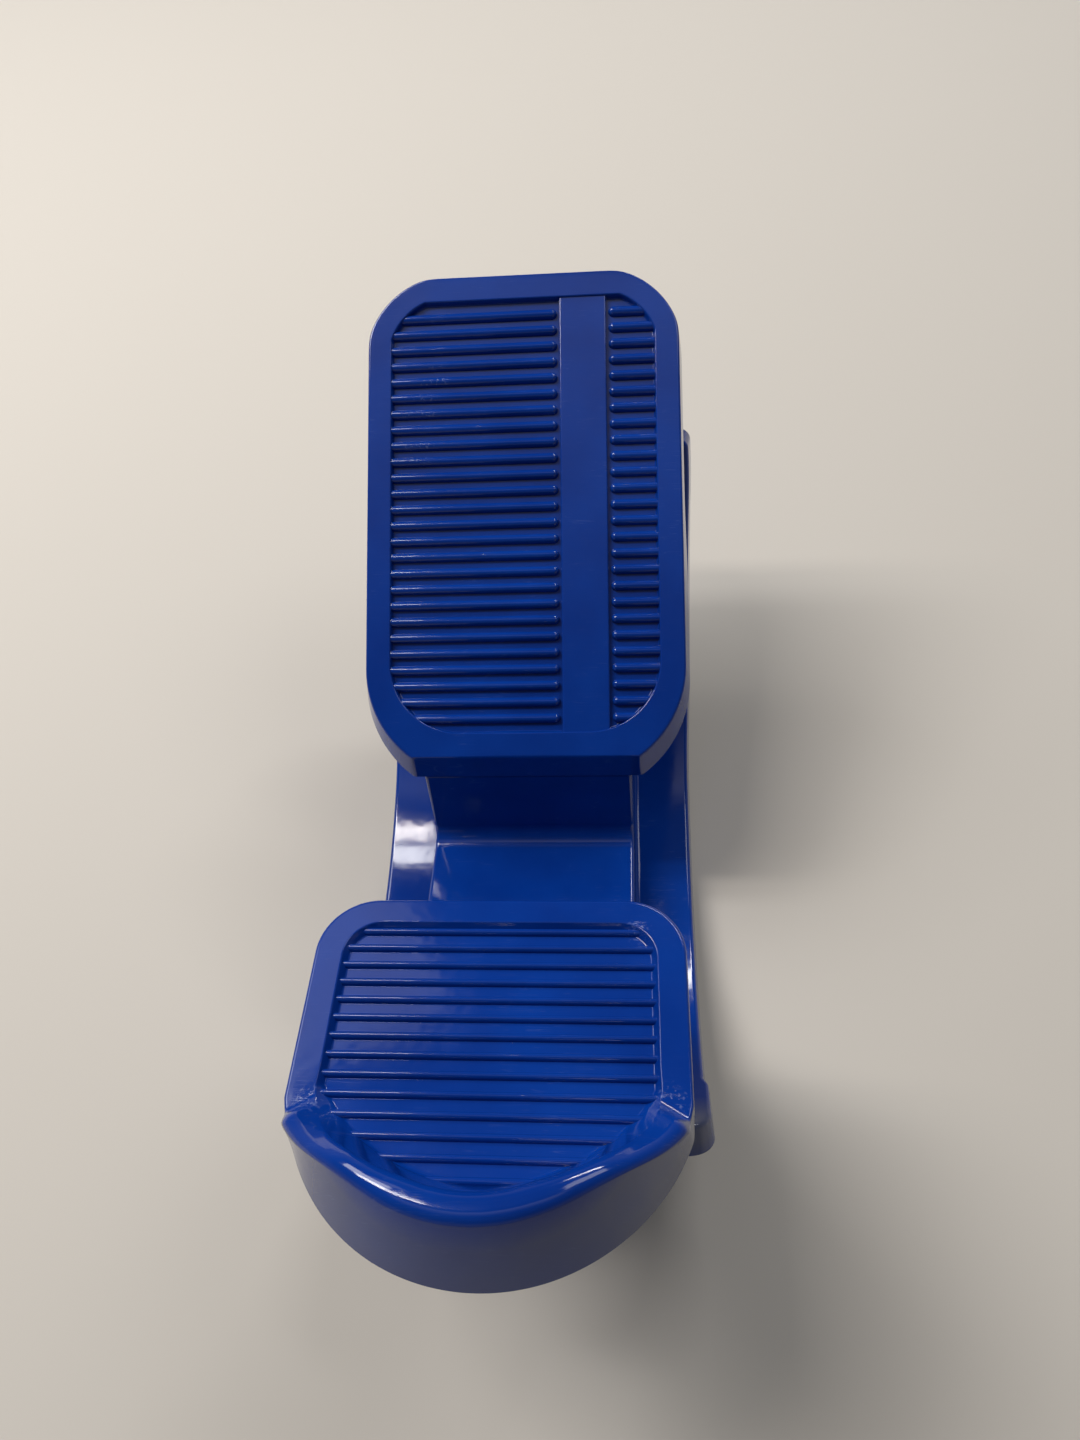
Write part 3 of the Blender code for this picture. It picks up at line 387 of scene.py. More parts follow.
def eased_corner(before, corner, after, radius, steps):
    """Arcs that round off corners of a profile, one per station. The centre lies on the corner's bisector at
    radius / sin(half angle), and the points turn evenly from one tangent point to the other."""
    before = before - corner
    after = after - corner
    room = np.minimum(np.linalg.norm(before, axis=-1), np.linalg.norm(after, axis=-1))
    before = before / np.linalg.norm(before, axis=-1, keepdims=True)
    after = after / np.linalg.norm(after, axis=-1, keepdims=True)
    half = np.arccos(np.clip((before * after).sum(-1), -1, 1)) / 2
    reach = np.minimum(radius / np.tan(half), room * CORNER_SHARE)
    radius = reach * np.tan(half)
    middle = before + after
    middle = middle / np.linalg.norm(middle, axis=-1, keepdims=True)
    centre = corner + middle * (radius / np.sin(half))[:, None]
    first = corner + before * reach[:, None] - centre
    last = corner + after * reach[:, None] - centre
    sweep = (np.pi - 2 * half)[None, :, None]
    share = np.linspace(0, 1, steps)[:, None, None]
    return centre + (np.sin((1 - share) * sweep) * first + np.sin(share * sweep) * last) / np.sin(sweep)


def eased_profile(corners, radii, steps):
    """A profile per station, as an array points x stations x 2. A corner with radius 0 stays one point."""
    points = [corners[0][None]]
    for before, corner, after, radius in zip(corners[:-2], corners[1:-1], corners[2:], radii):
        if np.max(radius) == 0:
            points.append(corner[None])
        else:
            points.append(eased_corner(before, corner, after, radius, steps))
    points.append(corners[-1][None])
    return np.concatenate(points)


def outline_normals(outline):
    """Outward normals: the chord from the point before to the point after, turned by a right angle."""
    chord = np.roll(outline, -1, axis=0) - np.roll(outline, 1, axis=0)
    normal = np.column_stack([chord[:, 1], -chord[:, 0]])
    normal /= np.linalg.norm(normal, axis=1, keepdims=True)
    away = (normal * (outline - outline.mean(axis=0))).sum()
    return normal if away > 0 else -normal


def carried(outer, inner, profile, pull_deg):
    """Rings of a platform. A profile point is (distance out from the outline, height). Distances out follow
    the outline's normal, and distances in follow the line to the recess's outline. Near the outline, heights
    below the top slide along y by height * tan(pull), so that the skirt runs parallel to the vertical."""
    inward = inner - outer
    inward = inward / np.linalg.norm(inward, axis=1, keepdims=True)
    out = profile[..., :1]
    plan = outer + np.where(out > 0, outline_normals(outer) * out, -inward * out)
    height = profile[..., 1]
    slides = profile[..., 0] > -SLIDES_WITHIN
    slide = np.minimum(height, 0) * math.tan(math.radians(pull_deg)) * slides
    return np.stack([plan[..., 0], plan[..., 1] + slide, height], axis=-1)


def rib_bodies(centres, lefts, rights, half, height, round_left, round_right):
    """Ribs across a recess. Each cross-section is half an ellipse, half * cos b across and height * sin b up.
    Towards a rounded end both shrink as cos a while the end moves out by half * sin a, as on a ball."""
    turn = np.radians(np.linspace(0, RIB_END_DEG, RIB_END_STEPS))
    left_turn = turn[::-1] if round_left else np.zeros(1)
    right_turn = turn if round_right else np.zeros(1)
    shrink = np.cos(np.concatenate([left_turn, right_turn]))
    left_x = lefts[:, None] + half * round_left - half * np.sin(left_turn)
    right_x = rights[:, None] - half * round_right + half * np.sin(right_turn)
    x = np.concatenate([left_x, right_x], axis=1)
    around = np.radians(np.linspace(0, 180, RIB_ROUND_STEPS))
    across = np.concatenate([[1.0], np.cos(around), [-1.0]])
    up = np.concatenate([[0.0], np.sin(around), [0.0]])
    root = np.concatenate([[-RIB_ROOT], np.zeros(RIB_ROUND_STEPS), [-RIB_ROOT]])
    bodies = np.empty((len(centres), len(shrink), len(across), 3))
    bodies[..., 0] = x[:, :, None]
    bodies[..., 1] = centres[:, None, None] + half * shrink[None, :, None] * across
    bodies[..., 2] = height * shrink[None, :, None] * up + root - RECESS_DEPTH
    return list(bodies)


def recess_reach(outline, y):
    """Half the recess's width at each distance along it, read off the right half of its outline."""
    right = outline[outline[:, 0] > 0]
    right = right[np.argsort(right[:, 1])]
    return np.interp(y, right[:, 1], right[:, 0])


# Forefoot platform


def fore_plan(rear_arc, front_arc, rear_half, front_half, rear_y, tip_y):
    """A forefoot outline. On each side two arcs are joined by a straight side, and an arc starts and ends
    where it reaches the straight edges. Points on straight edges lie as cos a does, closer near the ends."""
    x, y, radius = rear_arc
    start = -math.degrees(math.asin(min((y - rear_y) / radius, 1)))
    end = -math.degrees(math.acos(min((rear_half - x) / radius, 1)))
    rear = arc(x, y, radius, start, end, FORE_ARC_STEPS)
    x, y, radius = front_arc
    start = math.degrees(math.acos(min((front_half - x) / radius, 1)))
    end = math.degrees(math.asin(min((tip_y - y) / radius, 1)))
    front = arc(x, y, radius, start, end, FORE_ARC_STEPS)
    along = np.cos(np.linspace(0, math.pi, FORE_STRAIGHT_STEPS))[1:-1, None]
    side = rear[-1] + (front[0] - rear[-1]) * (1 - along) / 2
    right = np.vstack([rear, side, front])
    across = along * (1, 0)
    tip = front[-1] * (0, 1) + across * front[-1]
    heel_end = rear[0] * (0, 1) - across * rear[0]
    return np.vstack([right, tip, right[::-1] * (-1, 1), heel_end])


def softened(outline, spread):
    """A closed outline with softer corners: read at short steps along its length, averaged under a bell
    curve of this spread, and read back at the first points."""
    closed = np.vstack([outline, outline[:1]])
    length = np.concatenate([[0], np.cumsum(np.linalg.norm(np.diff(closed, axis=0), axis=1))])
    along = np.arange(0, length[-1], BELL_STEP)
    bell = np.exp(-0.5 * (np.arange(-BELL_REACH, BELL_REACH + 1) * BELL_STEP / spread) ** 2)
    soft = []
    for axis in range(2):
        fine = np.interp(along, length, closed[:, axis])
        fine = np.concatenate([fine[-BELL_REACH:], fine, fine[:BELL_REACH]])
        average = np.convolve(fine, bell / bell.sum(), "valid")
        soft.append(np.interp(length[:-1], along, average))
    return np.column_stack(soft)


def fore_tray():
    """The forefoot platform: one profile, from the underside round the skirt, rim and recess wall, carried
    along the outline. The tip's corners are softer than arcs."""
    outer = fore_plan(FORE_REAR_ARC, FORE_FRONT_ARC, FORE_HALF_REAR, FORE_HALF_FRONT, 0.0, FORE_LENGTH)
    near_tip = smooth_step(outer[:, 1:], *FORE_NEAR_TIP)
    outer = outer + (softened(outer, TIP_SOFTENING) - outer) * near_tip
    inner = fore_plan(
        FORE_RECESS_REAR_ARC,
        FORE_RECESS_FRONT_ARC,
        FORE_RECESS_REAR_ARC[0] + FORE_RECESS_REAR_ARC[2],
        FORE_RECESS_HALF,
        FORE_RECESS_REAR_ARC[1] - FORE_RECESS_REAR_ARC[2],
        FORE_RECESS_TIP,
    )
    width = np.linalg.norm(inner - outer, axis=1)
    flare = FORE_FLARE + (FORE_FLARE_TIP - FORE_FLARE) * near_tip[:, 0]
    zeros = np.zeros(len(outer))
    corners = [
        np.column_stack([zeros - UNDERSIDE_IN, zeros - FORE_THICK]),
        np.column_stack([flare - PLATFORM_WALL, zeros - FORE_SKIRT]),
        np.column_stack([flare, zeros - FORE_SKIRT]),
        np.column_stack([zeros, zeros]),
        np.column_stack([zeros - RIM_OUTER_FLAT, zeros]),
        np.column_stack([RIM_INNER_FLAT - width, zeros]),
        np.column_stack([-width, zeros]),
        np.column_stack([-RECESS_WALL_LEAN - width, zeros - RECESS_DEPTH]),
        np.column_stack([-FORE_FLOOR_IN - width, zeros - RECESS_DEPTH]),
    ]
    radii = (SKIRT_INNER_EASE, SKIRT_OUTER_EASE, RIM_EASE, 0, 0, RECESS_EDGE_EASE, RECESS_FOOT_EASE)
    profile = eased_profile(corners, radii, PROFILE_STEPS)
    return carried(outer, inner, profile, FORE_PITCH_DEG), inner


def bare_strip(rear, tip):
    """The raised strip along the forefoot recess: a bare rectangle carried up, with eased upper edges."""
    middle = (STRIP_LEFT + STRIP_RIGHT) / 2
    half = (STRIP_RIGHT - STRIP_LEFT) / 2
    edge_in, edge_below = np.transpose(STRIP_EDGE)
    insets = np.concatenate([[0.0], edge_in])
    heights = np.concatenate([[-RECESS_DEPTH - RIB_ROOT], -STRIP_BELOW_RIM - edge_below])
    y = np.linspace(rear, tip, STRIP_STEPS)
    right = np.column_stack([np.ones(STRIP_STEPS), y])
    left = np.column_stack([-np.ones(STRIP_STEPS), y[::-1]])
    loop = np.vstack([right, left])
    rings = np.empty((len(insets), len(loop), 3))
    rings[..., 0] = middle + loop[:, 0] * (half - insets[:, None])
    rings[..., 1] = loop[:, 1]
    rings[..., 2] = heights[:, None]
    return rings


def make_forefoot_platform(material):
    """The forefoot platform's tray, its ribs on both sides of the bare strip, and the strip."""
    tray, recess = fore_tray()
    centres = FORE_FIRST_RIB - FORE_RIB_PITCH * np.arange(FORE_RIBS)
    wall = recess_reach(recess, centres) + FORE_INTO_WALL
    strip_left = np.full(FORE_RIBS, STRIP_LEFT - STRIP_GROOVE)
    strip_right = np.full(FORE_RIBS, STRIP_RIGHT + STRIP_GROOVE)
    bodies = [tray]
    bodies += rib_bodies(centres, -wall, strip_left, FORE_RIB_HALF, FORE_RIB_HEIGHT, False, True)
    bodies += rib_bodies(centres, strip_right, wall, FORE_RIB_HALF, FORE_RIB_HEIGHT, True, False)
    bodies.append(bare_strip(RIM_WIDTH - FORE_INTO_WALL, FORE_RECESS_TIP + FORE_INTO_WALL))
    mesh = lofts_mesh("forefoot_platform_moulding", bodies)
    mesh.transform(platform_matrix(FORE_PITCH_DEG, FORE_REAR))
    add_piece("forefoot_platform_moulding", mesh, material, "moulded_body", "forefoot_platform")


# Heel platform


def heel_plan(half, corner, corner_y, round_y, rounding):
    """A heel outline from the front left corner round the rear to the front right corner: corner arcs,
    straight sides, and one arc at the rear between the angles where it meets the sides."""
    corner_x = half - corner
    meet = math.degrees(math.acos(half / rounding))
    front_left = arc(-corner_x, corner_y, corner, 90, 180, HEEL_CORNER_STEPS)
    rear = arc(0, round_y, rounding, 180 + meet, 360 - meet, HEEL_REAR_STEPS)
    along = np.linspace(0, 1, HEEL_SIDE_STEPS)[1:-1, None]
    side = front_left[-1] + (rear[0] - front_left[-1]) * along
    across = np.linspace(1, -1, HEEL_FRONT_STEPS)[1:-1, None]
    front = across * (corner_x, 0) + (0, corner_y + corner)
    return np.vstack([front_left, side, rear, side[::-1] * (-1, 1), front_left[::-1] * (-1, 1), front])


def round_the_cup(outline):
    """Angle along the cup from where the collar starts, in degrees: that start angle less the angle at the
    rear arc's centre between the point and straight back."""
    angle = np.degrees(np.arctan2(np.abs(outline[:, 0]), HEEL_ROUND_Y - outline[:, 1]))
    return np.where(outline[:, 1] < HEEL_ROUND_Y, CUP_START_DEG - angle, AHEAD_OF_CUP_DEG)


def cup_rise(turn, collar_deg):
    """Height of the cup's rim: a cubic step at the collar plus a sine ramp towards the rear."""
    ramp = sine_ramp(turn, *CUP_RISE_DEG)
    return COLLAR_RISE * smooth_step(turn, *collar_deg) + CUP_RISE * ramp**CUP_RISE_POWER


def heel_tray():
    """The heel platform: a profile per station, whose rim turns from a flat band at the front into the cup's
    rounded crown with a long outer slope and a concave inner wall at the rear."""
    outer = heel_plan(HEEL_HALF, HEEL_CORNER, -HEEL_CORNER, HEEL_ROUND_Y, HEEL_ROUND)
    inner = heel_plan(
        HEEL_RECESS_HALF,
        HEEL_RECESS_CORNER,
        HEEL_RECESS_FRONT - HEEL_RECESS_CORNER,
        HEEL_RECESS_ROUND_Y,
        HEEL_RECESS_ROUND,
    )
    width = np.linalg.norm(inner - outer, axis=1)
    turn = round_the_cup(outer)
    lean = sine_ramp(turn, *CROWN_LEAN_DEG)
    back = smooth_step(turn, *CUP_RISE_DEG)
    collar = smooth_step(turn, *COLLAR_OUTER_DEG)
    skirt = HEEL_SKIRT + (HEEL_SKIRT_REAR - HEEL_SKIRT) * smooth_step(turn, *CUP_SKIRT_DEG)
    flare = HEEL_FLARE + (HEEL_FLARE_REAR - HEEL_FLARE) * smooth_step(turn, *CUP_FLARE_DEG)
    crown_in = np.maximum(-RIM_WIDTH - (CROWN_INNER - RIM_WIDTH) * back, CROWN_OFF_RECESS - width)
    zeros = np.zeros(len(outer))
    corners = [
        np.column_stack([zeros - UNDERSIDE_IN, zeros - HEEL_THICK]),
        np.column_stack([flare - PLATFORM_WALL, -skirt]),
        np.column_stack([flare, -skirt]),
        np.column_stack([CROWN_OUT * collar - CROWN_LEAN * lean, cup_rise(turn, COLLAR_OUTER_DEG)]),
        np.column_stack([crown_in, cup_rise(turn, COLLAR_INNER_DEG)]),
        np.column_stack([-RECESS_WALL_LEAN - width, zeros - RECESS_DEPTH]),
        np.column_stack([-HEEL_FLOOR_IN - width, zeros - RECESS_DEPTH]),
    ]
    outer_ease = RIM_EASE + (CROWN_RADIUS - RIM_EASE) * collar
    inner_ease = RECESS_EDGE_EASE + (CROWN_RADIUS - RECESS_EDGE_EASE) * collar
    foot_ease = RECESS_FOOT_EASE + CUP_FOOT_EASE * back
    radii = (SKIRT_INNER_EASE, SKIRT_OUTER_EASE, outer_ease, inner_ease, foot_ease)
    profile = eased_profile(corners, radii, CUP_PROFILE_STEPS)
    return carried(outer, inner, profile, HEEL_PITCH_DEG), inner


def make_heel_platform(material):
    """The heel platform's tray and its ribs, which run from wall to wall."""
    tray, recess = heel_tray()
    centres = HEEL_FIRST_RIB - HEEL_RIB_PITCH * np.arange(HEEL_RIBS)
    wall = recess_reach(recess, centres) + HEEL_INTO_WALL
    bodies = [tray]
    bodies += rib_bodies(centres, -wall, wall, HEEL_RIB_HALF, HEEL_RIB_HEIGHT, False, False)
    mesh = lofts_mesh("heel_platform_moulding", bodies)
    mesh.transform(platform_matrix(HEEL_PITCH_DEG, HEEL_FRONT))
    add_piece("heel_platform_moulding", mesh, material, "moulded_body", "heel_platform")


# Rocker frame


def on_sole(radius, angle_deg):
    """The (y, z) of points of the sole's arc: the axis plus radius times (sin a, -cos a)."""
    angle = np.radians(angle_deg)
    return np.stack([SOLE_AXIS[0] + radius * np.sin(angle), SOLE_AXIS[1] - radius * np.cos(angle)], axis=-1)


def sole_half_width(angle_deg):
    """Half the sole's width: a step wider at the rear, gently wider in front, and an arc at each corner,
    which takes off radius - sqrt(radius^2 - missing^2)."""
    rear = REAR_WIDENING * smooth_step(angle_deg, REAR_WIDE_DEG[1], REAR_WIDE_DEG[0])
    front = FRONT_WIDENING * smooth_step(angle_deg, *FRONT_WIDE_DEG)
    narrow_from, narrow_to = FRONT_NARROW_DEG
    narrow = np.clip((angle_deg - narrow_from) / (narrow_to - narrow_from), 0, 1)
    half = SOLE_HALF + rear + front - FRONT_NARROWING * narrow**2
    for to_end, corner in (
        (angle_deg - SOLE_REAR_DEG, SOLE_REAR_CORNER),
        (SOLE_FRONT_DEG - angle_deg, SOLE_FRONT_CORNER),
    ):
        missing = np.clip(corner - np.radians(to_end) * SOLE_RADIUS, 0, corner)
        half -= corner - np.sqrt(corner**2 - missing**2)
    return half


def sole_stations():
    """Angles of the sole's sections: close together near both ends and where the rear widens."""
    near_deg = np.degrees(np.array(SOLE_END_STATIONS) / SOLE_RADIUS)
    middle = np.linspace(SOLE_REAR_DEG + SOLE_ENDS_DEG, SOLE_FRONT_DEG - SOLE_ENDS_DEG, SOLE_STEPS)
    widening = np.linspace(
        REAR_WIDE_DEG[0] - WIDENING_MARGIN_DEG, REAR_WIDE_DEG[1] + WIDENING_MARGIN_DEG, WIDENING_STEPS
    )
    return np.unique(np.concatenate([SOLE_REAR_DEG + near_deg, middle, widening, SOLE_FRONT_DEG - near_deg]))


def sole_slab():
    """The sole: a section with rounded upper edges carried along the arc, hollowed below for the sole plate.
    Towards both ends its top sinks as a quarter round."""
    angles = sole_stations()
    bend = np.radians(np.linspace(90, 0, SOLE_ROUND_STEPS))
    top_edge_in = SOLE_TOP_NARROWER + SOLE_EDGE_ROUND * (1 - np.cos(bend[::-1]))
    top_edge_at = SOLE_TOP + SOLE_EDGE_ROUND * (1 - np.sin(bend[::-1]))
    lip_in = SOLE_LIP_ROUND * (1 - np.sin(bend))[::-1]
    lip_at = SOLE_RADIUS - SOLE_LIP_ROUND * (1 - np.cos(bend))[::-1]
    inset = np.concatenate([[SKIRT_WALL, SKIRT_WALL], lip_in, top_edge_in, [SOLE_TOP_IN]])
    radius = np.concatenate([[PLATE_SEAT, SOLE_RADIUS], lip_at, top_edge_at, [SOLE_TOP]])
    distance = np.radians(np.minimum(angles - SOLE_REAR_DEG, SOLE_FRONT_DEG - angles)) * SOLE_RADIUS
    sunk = np.clip(SOLE_END_ROUND - distance, 0, SOLE_END_ROUND)
    sunk = SOLE_END_ROUND - np.sqrt(SOLE_END_ROUND**2 - sunk**2)
    share = (SOLE_RADIUS - radius) / (SOLE_RADIUS - SOLE_TOP)
    radii = radius + sunk[:, None] * share
    seat = np.clip((distance - SKIRT_WALL) / SEAT_SLOPE, 0, 1)
    radii[:, 0] = SOLE_RADIUS - SEAT_END_DEPTH - (SOLE_RADIUS - PLATE_SEAT) * seat
    x = sole_half_width(angles)[:, None] - inset
    yz = on_sole(radii, angles[:, None])
    right = np.concatenate([x[..., None], yz], axis=-1)
    return np.concatenate([right, right[:, ::-1] * (-1, 1, 1)], axis=1)


def side_view_point(pitch_deg, place, along, above):
    """The (y, z) of a point of a platform's middle plane, from its distance along and above the platform."""
    pitch = math.radians(pitch_deg)
    y = place[0] + along * math.cos(pitch) - above * math.sin(pitch)
    return y, place[1] + along * math.sin(pitch) + above * math.cos(pitch)


def moved_inwards(corners, distance):
    """The corners of a clockwise polygon whose sides all move inwards: where each two moved sides meet."""
    side = np.roll(corners, -1, axis=0) - corners
    side = side / np.linalg.norm(side, axis=1, keepdims=True)
    after = np.column_stack([side[:, 1], -side[:, 0]])
    before = np.roll(after, 1, axis=0)
    middle = before + after
    return corners + distance * middle / (1 + (before * after).sum(axis=1))[:, None]


def pedestal_corners():
    """Corners of the pedestal's side view, clockwise: the heel deck, the valley's floor, the ledge under the
    forefoot skirt, the forefoot deck, and two on the sole."""
    fore_deck = -(FORE_THICK + SEAT_GAP)
    heel_deck = -(HEEL_THICK + SEAT_GAP)
    skirt_y = -FORE_FLARE - FORE_SKIRT * math.tan(math.radians(FORE_PITCH_DEG))
    ledge = -(FORE_SKIRT + LEDGE_GAP)
    ledge_end = skirt_y + LEDGE_WIDTH
    floor_rise = (VALLEY_REAR - VALLEY_FRONT[0]) * math.tan(math.radians(HEEL_PITCH_DEG))
    return np.array([
        side_view_point(HEEL_PITCH_DEG, HEEL_FRONT, HEEL_DECK[1], heel_deck),
        side_view_point(HEEL_PITCH_DEG, HEEL_FRONT, HEEL_DECK[0], heel_deck),
        (VALLEY_REAR, VALLEY_FRONT[1] + floor_rise),
        VALLEY_FRONT,
        side_view_point(FORE_PITCH_DEG, FORE_REAR, skirt_y, ledge),
        side_view_point(FORE_PITCH_DEG, FORE_REAR, ledge_end, ledge),
        side_view_point(FORE_PITCH_DEG, FORE_REAR, ledge_end + (fore_deck - ledge) * LEDGE_LEAN, fore_deck),
        side_view_point(FORE_PITCH_DEG, FORE_REAR, FORE_DECK_TO, fore_deck),
        on_sole(SOLE_TOP, PEDESTAL_DEG[1]),
        on_sole(SOLE_TOP, PEDESTAL_DEG[0]),
    ])


def pedestal_outline(inset):
    """The pedestal's side view: its corners moved inwards and replaced by arcs. Arcs at hollow corners grow
    by the inset, and arcs at other corners shrink by it."""
    deck = max(DECK_ROUND - inset, DECK_ROUND_LEAST)
    valley = VALLEY_FILLET + inset
    ledge = max(LEDGE_ROUND - inset, LEDGE_ROUND_LEAST)
    radii = (deck, deck, valley, valley, ledge, LEDGE_HOLLOW + inset, deck, deck)
    moved = moved_inwards(pedestal_corners(), inset)[: len(radii)]
    foot_deg = np.linspace(PEDESTAL_DEG[1], PEDESTAL_DEG[0], PEDESTAL_FOOT_STEPS)
    foot = on_sole(SOLE_TOP + PEDESTAL_INTO_SOLE, foot_deg)
    around = np.vstack([foot[-1:], moved, foot[:1]])
    arcs = []
    for before, corner, after, radius in zip(around[:-2], around[1:-1], around[2:], radii):
        rounded = eased_corner(before[None], corner[None], after[None], radius, PEDESTAL_CORNER_STEPS)
        arcs.append(rounded[:, 0])
    return np.vstack([*arcs, foot])


def pedestal_side(z):
    """Half the pedestal's width at a height: it widens downwards by its draft."""
    return PEDESTAL_HALF + (PEDESTAL_DRAFT_FROM - z) * PEDESTAL_DRAFT


def pedestal():
    """The pedestal: its side view carried across, with quarter rounds along both sides: the outline moves in
    by edge * (1 - sin a) while the side moves out by edge * cos a."""
    rings = []
    for turn in np.radians(np.linspace(0, 90, PEDESTAL_EDGE_STEPS)):
        outline = pedestal_outline(PEDESTAL_EDGE * (1 - math.sin(turn)))
        half = pedestal_side(outline[:, 1]) - PEDESTAL_EDGE * (1 - math.cos(turn))
        rings.append(np.column_stack([half, outline]))
    right = np.array(rings)
    return np.concatenate([right, right[::-1] * (-1, 1, 1)])


def foot_cove(side):
    """The hollow fillet where the pedestal's side meets the sole: a quarter circle carried along the arc."""
    margin = math.degrees(FOOT_COVE / SOLE_RADIUS)
    angles = np.linspace(PEDESTAL_DEG[0] + margin, PEDESTAL_DEG[1] - margin, COVE_STEPS)
    bend = np.radians(np.linspace(180, 270, COVE_ROUND_STEPS))
    out = np.concatenate([[-COVE_ROOT, -COVE_ROOT], FOOT_COVE * (1 + np.cos(bend)), [FOOT_COVE]])
    up = np.concatenate([[-COVE_ROOT, FOOT_COVE], FOOT_COVE * (1 + np.sin(bend)), [-COVE_ROOT]])
    yz = on_sole(SOLE_TOP - up, angles[:, None])
    wall = pedestal_side(on_sole(SOLE_TOP, angles)[:, 1])
    x = side * (wall[:, None] + out)
    return np.concatenate([x[..., None], yz], axis=-1)


def make_rocker_frame(material):
    """The rocker frame: the sole, the pedestal on it, and the fillets between them."""
    mesh = lofts_mesh("rocker_frame_moulding", [sole_slab(), pedestal(), foot_cove(-1), foot_cove(1)])
    add_piece("rocker_frame_moulding", mesh, material, "moulded_body", "rocker_frame")


# Shader nodes


def new_material(name, base_color, roughness):
    """A material, its node tree and its shader. A value that a texture feeds later is only a fallback."""
    material = bpy.data.materials.new(name)
    material.use_nodes = True
    shader = material.node_tree.nodes["Principled BSDF"]
    shader.inputs["Base Color"].default_value = (*base_color, 1)
    shader.inputs["Roughness"].default_value = roughness
    return material, material.node_tree, shader


def add_node(tree, kind, inputs, **settings):
    """A shader node. An input is a number, a colour, or the socket that feeds it."""
    node = tree.nodes.new("ShaderNode" + kind)
    for name, value in settings.items():
        setattr(node, name, value)
    for name, value in inputs.items():
        if isinstance(value, bpy.types.NodeSocket):
            tree.links.new(value, node.inputs[name])
        else:
            node.inputs[name].default_value = value
    return node


def object_place(tree):
    """Object coordinates: the place in metres in the object's own frame."""
    return add_node(tree, "TexCoord", {}).outputs["Object"]


def noise(tree, place, scale, detail):
    """A soft random value between 0 and 1. The scale is about how many lumps there are in a metre."""
    inputs = {"Vector": place, "Scale": scale, "Detail": detail}
    return add_node(tree, "TexNoise", inputs).outputs["Fac"]


def ranged(tree, value, given, wanted=(0.0, 1.0)):
    """The given range of a value, spread over the wanted range and held at its ends."""
    inputs = {"Value": value, "From Min": given[0], "From Max": given[1]}
    inputs.update({"To Min": wanted[0], "To Max": wanted[1]})
    return add_node(tree, "MapRange", inputs).outputs["Result"]


def falling(tree, value, given):
    """One before the given range of a value, falling to nothing after it."""
    return ranged(tree, value, given, (1.0, 0.0))


def math_node(tree, operation, first, second):
    """The operation's result for two numbers or sockets."""
    return add_node(tree, "Math", {0: first, 1: second}, operation=operation).outputs["Value"]


def product(tree, *shares):
    """The shares multiplied together."""
    result = shares[0]
    for share in shares[1:]:
        result = math_node(tree, "MULTIPLY", result, share)
    return result


def vector_node(tree, operation, first, second, output="Vector"):
    """The operation's result for two vectors or sockets: a vector, or a number from the output "Value"."""
    return add_node(tree, "VectorMath", {0: first, 1: second}, operation=operation).outputs[output]


def mixed(tree, share, first, second):
    """A mix of two colours, each a socket or a linear (red, green, blue)."""
    inputs = {0: share}
    for name, colour in ((6, first), (7, second)):
        inputs[name] = (*colour, 1) if isinstance(colour, tuple) else colour
    return add_node(tree, "Mix", inputs, data_type="RGBA").outputs[2]


def bumped(tree, height, distance, shader, before=None):
    """Adds a bump, on top of the normal of the bump before it if there is one."""
    inputs = {"Height": height, "Distance": distance, "Strength": 1.0}
    if before:
        inputs["Normal"] = before
    normal = add_node(tree, "Bump", inputs).outputs["Normal"]
    tree.links.new(normal, shader.inputs["Normal"])
    return normal


# Finishes


def fine_scratches(tree, place, turn_deg, shift):
    """Thin scratches: where a noise stretched along one direction passes its middle value, broken up by a
    second noise into short strokes."""
    inputs = {"Vector": place, "Rotation": (0, 0, math.radians(turn_deg)), "Scale": SCRATCH_STRETCH}
    inputs["Location"] = (shift, shift, shift)
    stretched = add_node(tree, "Mapping", inputs).outputs["Vector"]
    from_middle = math_node(tree, "SUBTRACT", noise(tree, stretched, *SCRATCH_NOISE), NOISE_MIDDLE)
    thin = falling(tree, math_node(tree, "ABSOLUTE", from_middle, 0.0), (0.0, SCRATCH_THIN))
    strokes = ranged(tree, noise(tree, place, STROKE_SCALE + shift, STROKE_DETAIL), STROKE_READ)
    return product(tree, thin, strokes)


def worn_patches(tree, place, patches):
    """Soft round patches: one near a centre, fading to nothing at its reach. Sizes are in millimetres."""
    share = 0.0
    for centre, reach in patches:
        centre_m = tuple(MM * value for value in centre)
        away = vector_node(tree, "DISTANCE", place, centre_m, "Value")
        patch = falling(tree, away, (reach * MM * PATCH_CORE, reach * MM))
        share = math_node(tree, "MAXIMUM", share, patch)
    return share


def on_rib_tops(tree, place):
    """One on the tops of the forefoot ribs and nothing below them: the height above the platform's plane is
    the dot product of the place with the plane's upward direction."""
    pitch = math.radians(FORE_PITCH_DEG)
    upward = (0, -math.sin(pitch), math.cos(pitch))
    height = vector_node(tree, "DOT_PRODUCT", place, upward, "Value")
    plane = MM * (FORE_REAR[0] * upward[1] + FORE_REAR[1] * upward[2])
    return ranged(tree, height, (plane + RIB_TOPS[0] * MM, plane + RIB_TOPS[1] * MM))
